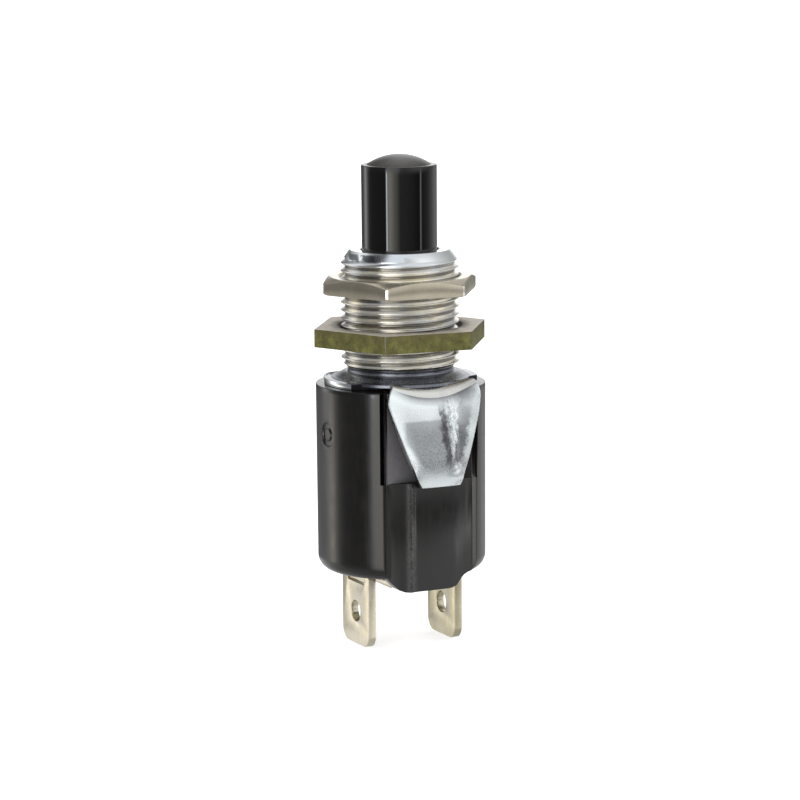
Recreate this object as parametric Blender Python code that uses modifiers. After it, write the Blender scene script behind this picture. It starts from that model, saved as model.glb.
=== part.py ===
"""Panel-mount momentary push button: button and stem in a bushing (thread not cut),
two hex nuts, sheet-steel frame with two folded ears, moulded body, two
quick-connect terminals, bridging contact and springs.

Units: millimetres in the constants, scaled to metres by MM.
Origin: on the button's axis, level with the terminals' tips.
+Z: along the axis, towards the button.  X: the line between the terminals.
Names: left is -X, right is +X, front is -Y, back is +Y.
R is a radius, D a distance from the axis along Y, HW a half width along X.
"""
import bpy
import bmesh
import math
from mathutils import Vector, Matrix

MM = 0.001
SIDES = ((-1, "left"), (1, "right"))
FACES = ((-1, "front"), (1, "back"))

# ------------------------------------------------------------ dimensions (mm)
CLEARANCE = 0.05              # air between neighbouring pieces
SPRING_GAP = 0.03             # air at a spring's ends
SLOT_GAP = 0.06               # air between terminal and body

# body
BODY_R = 8.53
BODY_Z0, BODY_Z1 = 7.50, 26.43
BODY_FILLET = 1.50
FLAT_D = 6.80                 # flats at +-Y
CHANNEL_D, CHANNEL_HW = 6.45, 4.75    # shallow channel in each flat
GROOVE_D = 6.10               # deeper grooves at the channel's sides
GROOVE_X = (4.60, 4.95)
LEDGE_Z = 17.28               # top of the lower boss, bottom of the grooves
FOOT_LOW_Z = 6.25             # feet under the body
BOSS_ROOT_D, BOSS_SIDE_D, BOSS_D = 4.90, 6.42, 7.00
BOSS_PLAN_HW, BOSS_FLAT_HW, BOSS_HW = 4.85, 2.30, 4.82
CAVITY_R, CAVITY_Z = 5.60, 10.00
SEAT_R, SEAT_Z = 6.00, 25.98  # counterbore for the insulating disc
RIVET_POCKET_R, RIVET_POCKET_DEPTH = 0.95, 0.50
STEM_POCKET_R, STEM_POCKET_DEPTH = 1.60, 0.80

# reach of the body's cutters
CUT_X, CUT_Y, CUT_Z = 9, 12, (5, 30)
SLOT_TOP_Z = 12
OVERCUT = 1.0

# terminals (0.250 in quick-connect tabs)
TAB_W, TAB_T = 6.35, 0.81
TAB_X = 4.80                  # mid-plane of each tab from the axis
TAB_INNER_X = TAB_X - TAB_T / 2
TAB_OUTER_X = TAB_X + TAB_T / 2
TAB_HOLE_R, TAB_HOLE_Z = 1.05, 3.35
TIP_CUT = 1.15                # corner cut at the tab's tip
SHOULDER_W, SHOULDER_H = 0.25, 0.30   # corner cut below the body
NECK_HW = 3.80 / 2            # half width along Y through the body's floor
FOOT_X = 2.20                 # inner end of the foot
FOOT_Z0 = 10.05               # underside of the foot
FOOT_Z1 = FOOT_Z0 + TAB_T
FOOT_OVERLAP = 0.20           # foot's reach into the tab
FOOT_HOLE_CUT_Z = (9, 12)
TANG_W = 3.60
TANG_OVERLAP = 0.10           # tang's root past the tab's mid-plane
WINDOW_X, WINDOW_HW, WINDOW_Z = (4, 6), 1.90, (6.30, 6.90)

# contacts
RIVET_X = 3.15
RIVET_HOLE_R = 0.50
HEAD_R, HEAD_FACE_R, HEAD_EDGE = 0.85, 0.55, 0.15
SHANK_R = 0.45
FIXED_HEAD_Z1 = 11.35
FIXED_TAIL_R, FIXED_TAIL_FACE_R = 0.72, 0.55
MOVING_HEAD_Z0 = 12.55
MOVING_TAIL_R, MOVING_TAIL_FACE_R = 0.70, 0.50
BRIDGE_Z0, BRIDGE_T, BRIDGE_L, BRIDGE_W = 13.15, 0.50, 8.20, 3.00
BRIDGE_Z1 = BRIDGE_Z0 + BRIDGE_T
BRIDGE_CORNER = 0.80
BRIDGE_HOLE_GAP = 0.10        # round the stem
BRIDGE_CUT_Z = (12, 15)

# frame
SHEET = 0.57
PLATE_R, PLATE_Z0 = 7.70, BODY_Z1 + CLEARANCE
PLATE_Z1 = PLATE_Z0 + SHEET
PLATE_BORE_R = 5.20
RING_R0, RING_R1, RING_Z = 5.75, 6.45, 27.65    # raised ring round the bore
NOTCH_X, NOTCH_ROOT_D, NOTCH_INNER_D = 7.60, 3.15, 4.90
NOTCH_REACH, NOTCH_DEPTH = 9.0, 4.0
EAR_ROOT_HW, EAR_TOP_HW, EAR_HW, EAR_TIP_HW = 3.84, 4.60, 5.03, 1.90
EAR_ROOT_GAP = 0.02           # between the ear's root and the notches
EAR_TIP_Z = 16.95
EAR_THICKNESS = SHEET * 0.95
EAR_CUT_D, EAR_CUT_DEPTH = 7.6, 5.0
CROWN, CROWN_HW = 0.15, 5.0   # the ear's edges fall back by CROWN at CROWN_HW
CROWN_FIRST_ROW = 3
EAR_STATIONS_X = [1.8 * i for i in range(-3, 4)]
# ear's outer surface from the plate to the tip: distance from the axis, z
EAR_PROFILE = [
    (5.60, PLATE_Z1), (6.45, PLATE_Z1), (6.95, 26.90), (7.30, 26.52), (7.47, 25.90),
    (7.60, 24.60), (7.98, 20.60), (8.30, 17.60), (8.33, 16.80),
]

# bushing (15/32-32)
MAJOR_R = 5.95
NECK_R, NECK_Z0, NECK_Z1 = 5.45, RING_Z + CLEARANCE, 28.25
THREAD_END = 0.30             # height of the cones that end the major radius
BUSH_Z1 = 39.88
CHAMFER_Z, CHAMFER_STEP, BUSH_TOP_R = 38.95, 0.15, 5.02
BORE_R, BORE_BEVEL = 3.95, 0.25
COUNTERBORE_R, STOP_Z = 4.75, 37.05   # for the button's collar

# nuts
NUT_BORE_R = 6.00
FACE_NUT = dict(across_flats=14.29, z0=35.60, thickness=1.65, angle=55.9, chamfer=0.45,
                sink=0.25)
BACKING_NUT = dict(across_flats=15.875, z0=30.42, thickness=1.83, angle=55.6, chamfer=0.0,
                   sink=0.22)
NUT_OVERCUT = 0.5
CHAMFER_REACH = 0.3           # chamfer cone past the nut's corners
CHAMFER_SLOPE = math.tan(math.radians(30))

# button and stem
BUTTON_R, BUTTON_RIM_Z, BUTTON_TOP_Z = 3.78, 48.36, 49.38
RIM_BEVEL, RIM_DROP = 0.15, 0.02
DOME_R, DOME_STEPS = 3.26, 6
COLLAR_R, COLLAR_Z0, COLLAR_Z1 = 4.60, 35.55, 36.97
STEM_R, STEM_LOW_R = 1.90, 1.15
STEM_Z0, STEM_STEP_Z, STEM_Z1 = 12.35, 19.60, 43.40
STEM_TOP_BEVEL_R, STEM_TOP_BEVEL_Z = 0.30, 0.50
CLIP_T, CLIP_R, CLIP_BORE_R = 0.50, 1.70, 0.93
CLIP_Z0 = BRIDGE_Z0 - CLEARANCE - CLIP_T
CLIP_Z1 = CLIP_Z0 + CLIP_T
CLIP_GROOVE_R, CLIP_GROOVE_GAP = 0.90, 0.02
STEM_TIP_R, STEM_TIP_FACE_R = STEM_LOW_R - 0.1, STEM_LOW_R - 0.3

# washer and disc under the return spring
WASHER_R, WASHER_GAP, WASHER_T = 4.65, 0.20, 0.38
WASHER_Z1 = BODY_Z1 + WASHER_T
DISC_GAP = 0.15

# springs: wire radius, mean coil radius, ends
COIL_TURNS = 6
CLOSED_PITCH = 2.15           # rise of each closed end turn, in wire radii
RETURN_SPRING = dict(wire_r=0.25, coil_r=4.25, z0=WASHER_Z1 + CLEARANCE,
                     z1=COLLAR_Z0 - SPRING_GAP, per_turn=22)
CONTACT_SPRING = dict(wire_r=0.16, coil_r=1.55, z0=BRIDGE_Z1 + SPRING_GAP,
                      z1=STEM_STEP_Z - SPRING_GAP, per_turn=14)

SHARP_ANGLE = math.radians(35)

# -------------------------------------------------------------------- scene
for ob in list(bpy.data.objects):
    bpy.data.objects.remove(ob, do_unlink=True)

parts = bpy.data.collections.new("push_button_switch")
cutters = bpy.data.collections.new("cutters")
bpy.context.scene.collection.children.link(parts)
bpy.context.scene.collection.children.link(cutters)


# ---------------------------------------------------------------- materials
def material(name, colour, roughness, metallic):
    mat = bpy.data.materials.new(name)
    mat.use_nodes = True
    shader = mat.node_tree.nodes["Principled BSDF"]
    shader.inputs["Base Color"].default_value = (*colour, 1.0)
    shader.inputs["Roughness"].default_value = roughness
    shader.inputs["Metallic"].default_value = metallic
    mat.diffuse_color = (*colour, 1.0)
    return mat


BLACK_GLOSS = material("black_gloss", colour=(0.012, 0.012, 0.013), roughness=0.12, metallic=0.0)
BLACK_SATIN = material("black_satin", colour=(0.028, 0.026, 0.025), roughness=0.38, metallic=0.0)
NICKEL = material("nickel_plate", colour=(0.63, 0.61, 0.57), roughness=0.26, metallic=1.0)
NICKEL_SATIN = material("nickel_satin", colour=(0.60, 0.57, 0.52), roughness=0.34, metallic=1.0)
OLIVE = material("olive_chromate", colour=(0.20, 0.20, 0.06), roughness=0.50, metallic=0.6)
ZINC = material("bright_zinc", colour=(0.72, 0.76, 0.80), roughness=0.24, metallic=1.0)
TINNED = material("tinned_brass", colour=(0.72, 0.67, 0.56), roughness=0.30, metallic=1.0)
SILVER = material("contact_silver", colour=(0.80, 0.79, 0.76), roughness=0.28, metallic=1.0)
COPPER = material("contact_copper", colour=(0.72, 0.42, 0.27), roughness=0.30, metallic=1.0)
SPRING_STEEL = material("spring_steel", colour=(0.50, 0.50, 0.50), roughness=0.30, metallic=1.0)
FIBRE = material("red_fibre", colour=(0.32, 0.12, 0.08), roughness=0.75, metallic=0.0)
NYLON = material("natural_nylon", colour=(0.78, 0.75, 0.66), roughness=0.45, metallic=0.0)


# ------------------------------------------------------------------ helpers
def add_object(name, data, mat=None):
    """With a material the object is a part; without one it is a hidden cutter."""
    ob = bpy.data.objects.new(name, data)
    if mat:
        parts.objects.link(ob)
        data.materials.append(mat)
    else:
        cutters.objects.link(ob)
        ob.hide_render = True
        ob.display_type = "WIRE"
    return ob


def turned(name, profile, steps, mat=None, closed=False):
    """Profile of (radius, z) turned about Z."""
    mesh = bpy.data.meshes.new(name)
    verts = [(radius * MM, 0.0, z * MM) for radius, z in profile]
    edges = [(i, i + 1) for i in range(len(verts) - 1)]
    if closed:
        edges.append((len(verts) - 1, 0))
    mesh.from_pydata(verts, edges, [])
    ob = add_object(name, mesh, mat)
    screw = ob.modifiers.new("turn", "SCREW")
    screw.axis = "Z"
    screw.steps = steps
    screw.render_steps = steps
    screw.use_merge_vertices = True
    screw.merge_threshold = 1e-6
    screw.use_smooth_shade = False
    return ob


# turns a prism's own x, y, z to the world's for each extrusion axis
PRISM_TURNS = {
    "X": Matrix(((0, 0, 1, 0), (1, 0, 0, 0), (0, 1, 0, 0), (0, 0, 0, 1))),
    "Y": Matrix.Rotation(math.pi / 2, 4, "X"),
    "Z": Matrix.Identity(4),
}


def prism(name, outline, depth, axis, offset, mat=None):
    """Flat outline filled as a 2D curve, extruded to the given depth,
    centred on offset along the axis. axis X: outline is (y, z);
    axis Y: outline is (x, z); axis Z: outline is (x, y)."""
    curve = bpy.data.curves.new(name + "_outline", "CURVE")
    curve.dimensions = "2D"
    curve.fill_mode = "BOTH"
    curve.extrude = depth * MM / 2
    spline = curve.splines.new("POLY")
    spline.points.add(len(outline) - 1)
    for point, (x, y) in zip(spline.points, outline):
        point.co = (x * MM, y * MM, 0.0, 1.0)
    spline.use_cyclic_u = True
    source = bpy.data.objects.new(name + "_outline", curve)
    cutters.objects.link(source)
    bpy.context.view_layer.update()
    depsgraph = bpy.context.evaluated_depsgraph_get()
    mesh = bpy.data.meshes.new_from_object(source.evaluated_get(depsgraph))
    bpy.data.objects.remove(source, do_unlink=True)
    mesh.name = name
    # weld the caps to the walls so the prism is one closed solid
    bm = bmesh.new()
    bm.from_mesh(mesh)
    bmesh.ops.remove_doubles(bm, verts=bm.verts, dist=1e-7)
    bmesh.ops.recalc_face_normals(bm, faces=bm.faces)
    bm.to_mesh(mesh)
    bm.free()
    ob = add_object(name, mesh, mat)
    shift = [offset * MM if letter == axis else 0.0 for letter in "XYZ"]
    ob.matrix_world = Matrix.Translation(shift) @ PRISM_TURNS[axis]
    return ob


def box(name, *spans):
    """Cutter from its x, y and z spans; each span's ends may come in either order."""
    spans = [sorted(span) for span in spans]
    mesh = bpy.data.meshes.new(name)
    bm = bmesh.new()
    bmesh.ops.create_cube(bm, size=1.0)
    for v in bm.verts:
        v.co = Vector([(lo + hi) / 2 + unit * (hi - lo)
                       for unit, (lo, hi) in zip(v.co, spans)]) * MM
    bm.to_mesh(mesh)
    bm.free()
    return add_object(name, mesh)


def cylinder(name, radius, z0, z1, segments, x=0.0, angle=0.0, mat=None):
    mesh = bpy.data.meshes.new(name)
    bm = bmesh.new()
    bmesh.ops.create_cone(bm, cap_ends=True, segments=segments, radius1=radius * MM,
                          radius2=radius * MM, depth=(z1 - z0) * MM)
    bmesh.ops.rotate(bm, verts=bm.verts, cent=(0, 0, 0),
                     matrix=Matrix.Rotation(math.radians(angle), 3, "Z"))
    bmesh.ops.translate(bm, verts=bm.verts, vec=(x * MM, 0.0, (z0 + z1) / 2 * MM))
    bm.to_mesh(mesh)
    bm.free()
    return add_object(name, mesh, mat)


def boolean(ob, other, operation="DIFFERENCE"):
    modifier = ob.modifiers.new(operation.lower() + "_" + other.name, "BOOLEAN")
    modifier.operation = operation
    modifier.solver = "EXACT"
    modifier.object = other


def mirrored(half):
    """Half an outline, then its mirror image back to the start."""
    return half + [(-across, along) for across, along in reversed(half)]


def arc(centre_r, centre_z, radius, start, end, steps):
    """Points of a circular arc between two angles in degrees."""
    angles = [math.radians(start + (end - start) * i / steps) for i in range(steps + 1)]
    return [(centre_r + radius * math.cos(a), centre_z + radius * math.sin(a)) for a in angles]


def coil(name, wire_r, coil_r, z0, z1, per_turn):
    """Compression spring with one closed turn at each end."""
    curve = bpy.data.curves.new(name, "CURVE")
    curve.dimensions = "3D"
    curve.bevel_depth = wire_r * MM
    curve.bevel_resolution = 1
    curve.use_fill_caps = True
    low, high = z0 + wire_r, z1 - wire_r
    closed_rise = CLOSED_PITCH * wire_r
    open_rise = (high - low - 2 * closed_rise) / (COIL_TURNS - 2)
    spline = curve.splines.new("POLY")
    spline.points.add(COIL_TURNS * per_turn)
    for i, point in enumerate(spline.points):
        turn = i / per_turn
        if turn <= 1:
            z = low + closed_rise * turn
        elif turn >= COIL_TURNS - 1:
            z = high - closed_rise * (COIL_TURNS - turn)
        else:
            z = low + closed_rise + open_rise * (turn - 1)
        angle = 2 * math.pi * turn
        point.co = (coil_r * math.cos(angle) * MM, coil_r * math.sin(angle) * MM, z * MM, 1.0)
    add_object(name, curve, SPRING_STEEL)


# ------------------------------------------------------------- body housing
def make_boss(face, tag):
    """Lower boss, thicker in the middle, running down into the foot."""
    plan = mirrored([(-BOSS_PLAN_HW, face * BOSS_ROOT_D), (-BOSS_PLAN_HW, face * BOSS_SIDE_D),
                     (-BOSS_FLAT_HW, face * BOSS_D)])
    boss = prism("boss_" + tag, plan, LEDGE_Z - FOOT_LOW_Z, "Z", (LEDGE_Z + FOOT_LOW_Z) / 2)
    # x, z of the right half, from the foot up
    outline = mirrored([
        (2.9, FOOT_LOW_Z - 0.05), (3.6, FOOT_LOW_Z + 0.35), (4.4, BODY_Z0 - 0.05),
        (BOSS_HW, BODY_Z0 + 0.5), (BOSS_HW, LEDGE_Z + OVERCUT)])
    boolean(boss, prism("boss_outline_" + tag, outline, 8.0, "Y", face * 8.0), "INTERSECT")
    return boss


def make_body():
    fillet = arc(BODY_R - BODY_FILLET, BODY_Z0 + BODY_FILLET, BODY_FILLET, 0, -90, 4)
    body = turned("body_housing",
                  [(0.0, BODY_Z1), (BODY_R, BODY_Z1)] + fillet + [(0.0, BODY_Z0)],
                  64, BLACK_SATIN)
    cavity = [(0.0, BODY_Z1 + OVERCUT), (SEAT_R, BODY_Z1 + OVERCUT), (SEAT_R, SEAT_Z),
              (CAVITY_R, SEAT_Z), (CAVITY_R, CAVITY_Z), (0.0, CAVITY_Z)]
    boolean(body, turned("cavity_cut", cavity, 48))
    for face, tag in FACES:
        boolean(body, box("flat_cut_" + tag, (-CUT_X, CUT_X),
                          (face * FLAT_D, face * CUT_Y), CUT_Z))
        boolean(body, box("channel_cut_" + tag, (-CHANNEL_HW, CHANNEL_HW),
                          (face * CHANNEL_D, face * CUT_Y), CUT_Z))
        for side, side_tag in SIDES:
            boolean(body, box("groove_cut_%s_%s" % (tag, side_tag),
                              [side * x for x in GROOVE_X],
                              (face * GROOVE_D, face * CUT_Y), (LEDGE_Z, CUT_Z[1])))
        boolean(body, make_boss(face, tag), "UNION")
    slot_hw = NECK_HW + SLOT_GAP
    for side, tag in SIDES:
        boolean(body, box("terminal_slot_" + tag,
                          (side * (TAB_INNER_X - SLOT_GAP), side * (TAB_OUTER_X + SLOT_GAP)),
                          (-slot_hw, slot_hw), (CUT_Z[0], SLOT_TOP_Z)))
        boolean(body, cylinder("rivet_pocket_" + tag, RIVET_POCKET_R,
                               CAVITY_Z - RIVET_POCKET_DEPTH, CAVITY_Z + OVERCUT, 20,
                               x=side * RIVET_X))
    boolean(body, cylinder("stem_pocket", STEM_POCKET_R, CAVITY_Z - STEM_POCKET_DEPTH,
                           CAVITY_Z + OVERCUT, 24))


# ------------------------------------------------------- terminals, contacts
def make_terminal(side, tag):
    half_w = TAB_W / 2
    shoulder_z = BODY_Z0 - SLOT_GAP
    # y, z of the +Y half, from the tip up
    outline = mirrored([
        (half_w - TIP_CUT, 0.0), (half_w - 0.35 * TIP_CUT, 0.30 * TIP_CUT),
        (half_w, 1.05 * TIP_CUT), (half_w, shoulder_z - SHOULDER_H),
        (half_w - SHOULDER_W, shoulder_z), (NECK_HW, shoulder_z), (NECK_HW, FOOT_Z1)])
    terminal = prism("terminal_" + tag, outline, TAB_T, "X", side * TAB_X, TINNED)
    boolean(terminal, box("terminal_foot_" + tag,
                          (side * FOOT_X, side * (TAB_INNER_X + FOOT_OVERLAP)),
                          (-NECK_HW, NECK_HW), (FOOT_Z0, FOOT_Z1)), "UNION")

    # locking tang lanced out of the tab and bent inwards under the body: x, z
    root_x, inner_x = side * (TAB_X + TANG_OVERLAP), side * TAB_INNER_X
    tang = prism("tang_" + tag,
                 [(root_x, 7.36), (inner_x, 7.36), (inner_x - side * 2.10, 6.62),
                  (inner_x - side * 2.20, 6.22), (inner_x, 6.94), (root_x, 6.94)],
                 TANG_W, "Y", 0.0)
    boolean(terminal, box("tang_window_" + tag, [side * x for x in WINDOW_X],
                          (-WINDOW_HW, WINDOW_HW), WINDOW_Z))
    boolean(terminal, tang, "UNION")

    hole = cylinder("tab_hole_" + tag, TAB_HOLE_R, -3, 3, 24)
    hole.matrix_world = (Matrix.Translation((side * TAB_X * MM, 0, TAB_HOLE_Z * MM))
                         @ Matrix.Rotation(math.pi / 2, 4, "Y"))
    boolean(terminal, hole)
    boolean(terminal, cylinder("foot_hole_" + tag, RIVET_HOLE_R, *FOOT_HOLE_CUT_Z, 16,
                               x=side * RIVET_X))


def make_contacts(side, tag):
    """Fixed rivet in the terminal's foot and moving rivet in the bridge."""
    over_foot, under_foot = FOOT_Z1 + CLEARANCE, FOOT_Z0 - CLEARANCE
    fixed = turned("contact_rivet_" + tag, [
        (0.0, FIXED_HEAD_Z1), (HEAD_FACE_R, FIXED_HEAD_Z1),
        (HEAD_R, FIXED_HEAD_Z1 - HEAD_EDGE), (HEAD_R, over_foot),
        (SHANK_R, over_foot), (SHANK_R, under_foot), (FIXED_TAIL_R, under_foot),
        (FIXED_TAIL_R, FOOT_Z0 - 0.25), (FIXED_TAIL_FACE_R, FOOT_Z0 - 0.38),
        (0.0, FOOT_Z0 - 0.38)], 20, SILVER)
    over_bridge, under_bridge = BRIDGE_Z1 + CLEARANCE, BRIDGE_Z0 - CLEARANCE
    moving = turned("moving_contact_" + tag, [
        (0.0, BRIDGE_Z1 + 0.28), (MOVING_TAIL_FACE_R, BRIDGE_Z1 + 0.28),
        (MOVING_TAIL_R, BRIDGE_Z1 + 0.18), (MOVING_TAIL_R, over_bridge),
        (SHANK_R, over_bridge), (SHANK_R, under_bridge), (HEAD_R, under_bridge),
        (HEAD_R, MOVING_HEAD_Z0 + HEAD_EDGE), (HEAD_FACE_R, MOVING_HEAD_Z0),
        (0.0, MOVING_HEAD_Z0)], 20, SILVER)
    for rivet in (fixed, moving):
        rivet.location = (side * RIVET_X * MM, 0, 0)


def make_bridge():
    half_l, half_w = BRIDGE_L / 2, BRIDGE_W / 2
    outline = mirrored([(half_l - BRIDGE_CORNER, -half_w), (half_l, -half_w + BRIDGE_CORNER),
                        (half_l, half_w - BRIDGE_CORNER), (half_l - BRIDGE_CORNER, half_w)])
    bridge = prism("contact_bridge", outline, BRIDGE_T, "Z", BRIDGE_Z0 + BRIDGE_T / 2, COPPER)
    boolean(bridge, cylinder("bridge_hole", STEM_LOW_R + BRIDGE_HOLE_GAP, *BRIDGE_CUT_Z, 24))
    for side, tag in SIDES:
        boolean(bridge, cylinder("bridge_rivet_hole_" + tag, RIVET_HOLE_R, *BRIDGE_CUT_Z, 16,
                                 x=side * RIVET_X))


# ------------------------------------------------------------ button and stem
def make_button():
    dome_h = BUTTON_TOP_Z - BUTTON_RIM_Z
    sphere_r = (DOME_R ** 2 + dome_h ** 2) / (2 * dome_h)
    dome = []
    for i in range(DOME_STEPS + 1):
        radius = DOME_R * math.sin(math.pi / 2 * i / DOME_STEPS)
        dome.append((radius, BUTTON_TOP_Z - sphere_r + math.sqrt(sphere_r ** 2 - radius ** 2)))
    rim_z = BUTTON_RIM_Z - RIM_DROP
    socket_r, socket_z = STEM_R + CLEARANCE, STEM_Z1 + CLEARANCE
    turned("push_button", dome + [
        (BUTTON_R - RIM_BEVEL, rim_z), (BUTTON_R, rim_z - RIM_BEVEL),
        (BUTTON_R, COLLAR_Z1), (COLLAR_R, COLLAR_Z1), (COLLAR_R, COLLAR_Z0),
        (socket_r, COLLAR_Z0), (socket_r, socket_z), (0.0, socket_z)], 40, BLACK_GLOSS)


def make_stem():
    groove_z0, groove_z1 = CLIP_Z0 - CLIP_GROOVE_GAP, CLIP_Z1 + CLIP_GROOVE_GAP
    turned("plunger_stem", [
        (0.0, STEM_Z1), (STEM_R - STEM_TOP_BEVEL_R, STEM_Z1),
        (STEM_R, STEM_Z1 - STEM_TOP_BEVEL_Z), (STEM_R, STEM_STEP_Z), (STEM_LOW_R, STEM_STEP_Z),
        (STEM_LOW_R, groove_z1), (CLIP_GROOVE_R, groove_z1), (CLIP_GROOVE_R, groove_z0),
        (STEM_TIP_R, groove_z0), (STEM_TIP_FACE_R, STEM_Z0), (0.0, STEM_Z0)], 28, NYLON)


def make_ring(name, inner_r, outer_r, z0, z1, steps, mat):
    """Flat ring of rectangular section."""
    turned(name, [(inner_r, z1), (outer_r, z1), (outer_r, z0), (inner_r, z0)], steps, mat,
           closed=True)


# ---------------------------------------------------------- bushing and nuts
def make_bushing():
    spigot_r = PLATE_BORE_R - CLEARANCE
    turned("threaded_bushing", [
        (BORE_R + BORE_BEVEL, BUSH_Z1), (BUSH_TOP_R, BUSH_Z1),
        (MAJOR_R - CHAMFER_STEP, CHAMFER_Z), (MAJOR_R, CHAMFER_Z - THREAD_END),
        (MAJOR_R, NECK_Z1 + THREAD_END), (NECK_R, NECK_Z1), (NECK_R, NECK_Z0),
        (spigot_r, NECK_Z0), (spigot_r, PLATE_Z0), (COUNTERBORE_R, PLATE_Z0),
        (COUNTERBORE_R, STOP_Z), (BORE_R, STOP_Z), (BORE_R, BUSH_Z1 - BORE_BEVEL)],
        48, NICKEL, closed=True)


def make_nut(name, mat, across_flats, z0, thickness, angle, chamfer, sink):
    """Hex nut, chamfered on its upper face only, countersunk at both ends of the bore."""
    corner_r = across_flats / 2 / math.cos(math.pi / 6)
    z1 = z0 + thickness
    below, above = z0 - NUT_OVERCUT, z1 + NUT_OVERCUT
    nut = cylinder(name, corner_r, z0, z1, 6, angle=angle - 90, mat=mat)
    if chamfer:
        reach_r = corner_r + CHAMFER_REACH
        cone = turned(name + "_chamfer", [
            (0.0, above), (corner_r - (chamfer + NUT_OVERCUT) / CHAMFER_SLOPE, above),
            (reach_r, z1 - chamfer - CHAMFER_REACH * CHAMFER_SLOPE),
            (reach_r, below), (0.0, below)], 48)
        boolean(nut, cone, "INTERSECT")
    sink_r = NUT_BORE_R + sink
    bore = turned(name + "_bore", [
        (0.0, above), (sink_r + NUT_OVERCUT, above), (sink_r, z1), (NUT_BORE_R, z1 - sink),
        (NUT_BORE_R, z0 + sink), (sink_r, z0), (sink_r + NUT_OVERCUT, below), (0.0, below)], 48)
    boolean(nut, bore)


# -------------------------------------------------------------------- frame
def make_ear(face, tag):
    """Folded sheet: the outer surface as a grid, thickened inwards and trimmed."""
    mesh = bpy.data.meshes.new("ear_sheet_" + tag)
    columns, rows = len(EAR_STATIONS_X) - 1, len(EAR_PROFILE) - 1
    bm = bmesh.new()
    bmesh.ops.create_grid(bm, x_segments=columns, y_segments=rows, size=1.0)
    for v in bm.verts:
        x = EAR_STATIONS_X[round((v.co.x + 1) / 2 * columns)]
        row = round((v.co.y + 1) / 2 * rows)
        distance, z = EAR_PROFILE[row]
        crown = CROWN * (x / CROWN_HW) ** 2 if row >= CROWN_FIRST_ROW else 0.0
        v.co = Vector((x, face * (distance - crown), z)) * MM
    # normals must point away from the axis for the sheet to thicken inwards
    bmesh.ops.recalc_face_normals(bm, faces=bm.faces)
    if sum(f.normal.y for f in bm.faces) * face < 0:
        bmesh.ops.reverse_faces(bm, faces=bm.faces)
    bm.to_mesh(mesh)
    bm.free()
    ear = add_object("ear_" + tag, mesh)
    solidify = ear.modifiers.new("sheet", "SOLIDIFY")
    solidify.thickness = EAR_THICKNESS * MM
    solidify.offset = -1.0
    # x, z of the right half, from the tip up
    root_hw = EAR_ROOT_HW - EAR_ROOT_GAP
    outline = mirrored([
        (EAR_TIP_HW, EAR_TIP_Z), (2.25, EAR_TIP_Z + 0.7), (EAR_HW, 25.40),
        (EAR_TOP_HW, 26.65), (root_hw, 26.90), (root_hw, 28.0)])
    boolean(ear, prism("ear_outline_" + tag, outline, EAR_CUT_DEPTH, "Y", face * EAR_CUT_D),
            "INTERSECT")
    return ear


def make_frame():
    frame = turned("mounting_frame", [
        (PLATE_BORE_R, RING_Z), (RING_R0, RING_Z), (RING_R1, PLATE_Z1), (PLATE_R, PLATE_Z1),
        (PLATE_R, PLATE_Z0), (PLATE_BORE_R, PLATE_Z0)], 56, ZINC, closed=True)
    # x, y of the notch beside an ear's root, in the +X +Y quarter
    notch = [(NOTCH_X, NOTCH_ROOT_D), (EAR_ROOT_HW, NOTCH_INNER_D), (EAR_ROOT_HW, NOTCH_REACH),
             (NOTCH_REACH, NOTCH_REACH), (NOTCH_REACH, NOTCH_ROOT_D)]
    for face, tag in FACES:
        for side, side_tag in SIDES:
            boolean(frame, prism("notch_%s_%s" % (tag, side_tag),
                                 [(side * x, face * y) for x, y in notch],
                                 NOTCH_DEPTH, "Z", PLATE_Z0))
    for face, tag in FACES:
        boolean(frame, make_ear(face, tag), "UNION")


# ----------------------------------------------------------------- assembly
make_body()
for side, tag in SIDES:
    make_terminal(side, tag)
    make_contacts(side, tag)
make_bridge()
make_button()
make_stem()
make_ring("bridge_clip", CLIP_BORE_R, CLIP_R, CLIP_Z0, CLIP_Z1, 24, SPRING_STEEL)
coil("contact_spring", **CONTACT_SPRING)
coil("return_spring", **RETURN_SPRING)
make_bushing()
make_ring("spring_seat_washer", STEM_R + WASHER_GAP, WASHER_R, BODY_Z1, WASHER_Z1, 36, ZINC)
make_ring("insulating_disc", STEM_R + DISC_GAP, SEAT_R - CLEARANCE, SEAT_Z + CLEARANCE,
          BODY_Z1 - CLEARANCE, 48, FIBRE)
make_nut("face_nut", NICKEL_SATIN, **FACE_NUT)
make_nut("backing_nut", OLIVE, **BACKING_NUT)
make_frame()

for ob in parts.objects:
    if ob.type == "MESH":
        ob.data.shade_smooth()
        ob.data.set_sharp_from_angle(angle=SHARP_ANGLE)
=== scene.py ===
"""Panel-mount momentary push button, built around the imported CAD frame.

The button's axis is +Z, its cap at the top and its two blade terminals at the bottom, at -X
(left) and +X (right). The front is -Y; the frame's two ears hang down at -Y and +Y.
Lengths are in millimetres and M scales them to metres; camera and lights are in metres.
"""
import bpy
import bmesh
import math
import numpy as np
from mathutils import Matrix, Vector


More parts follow.
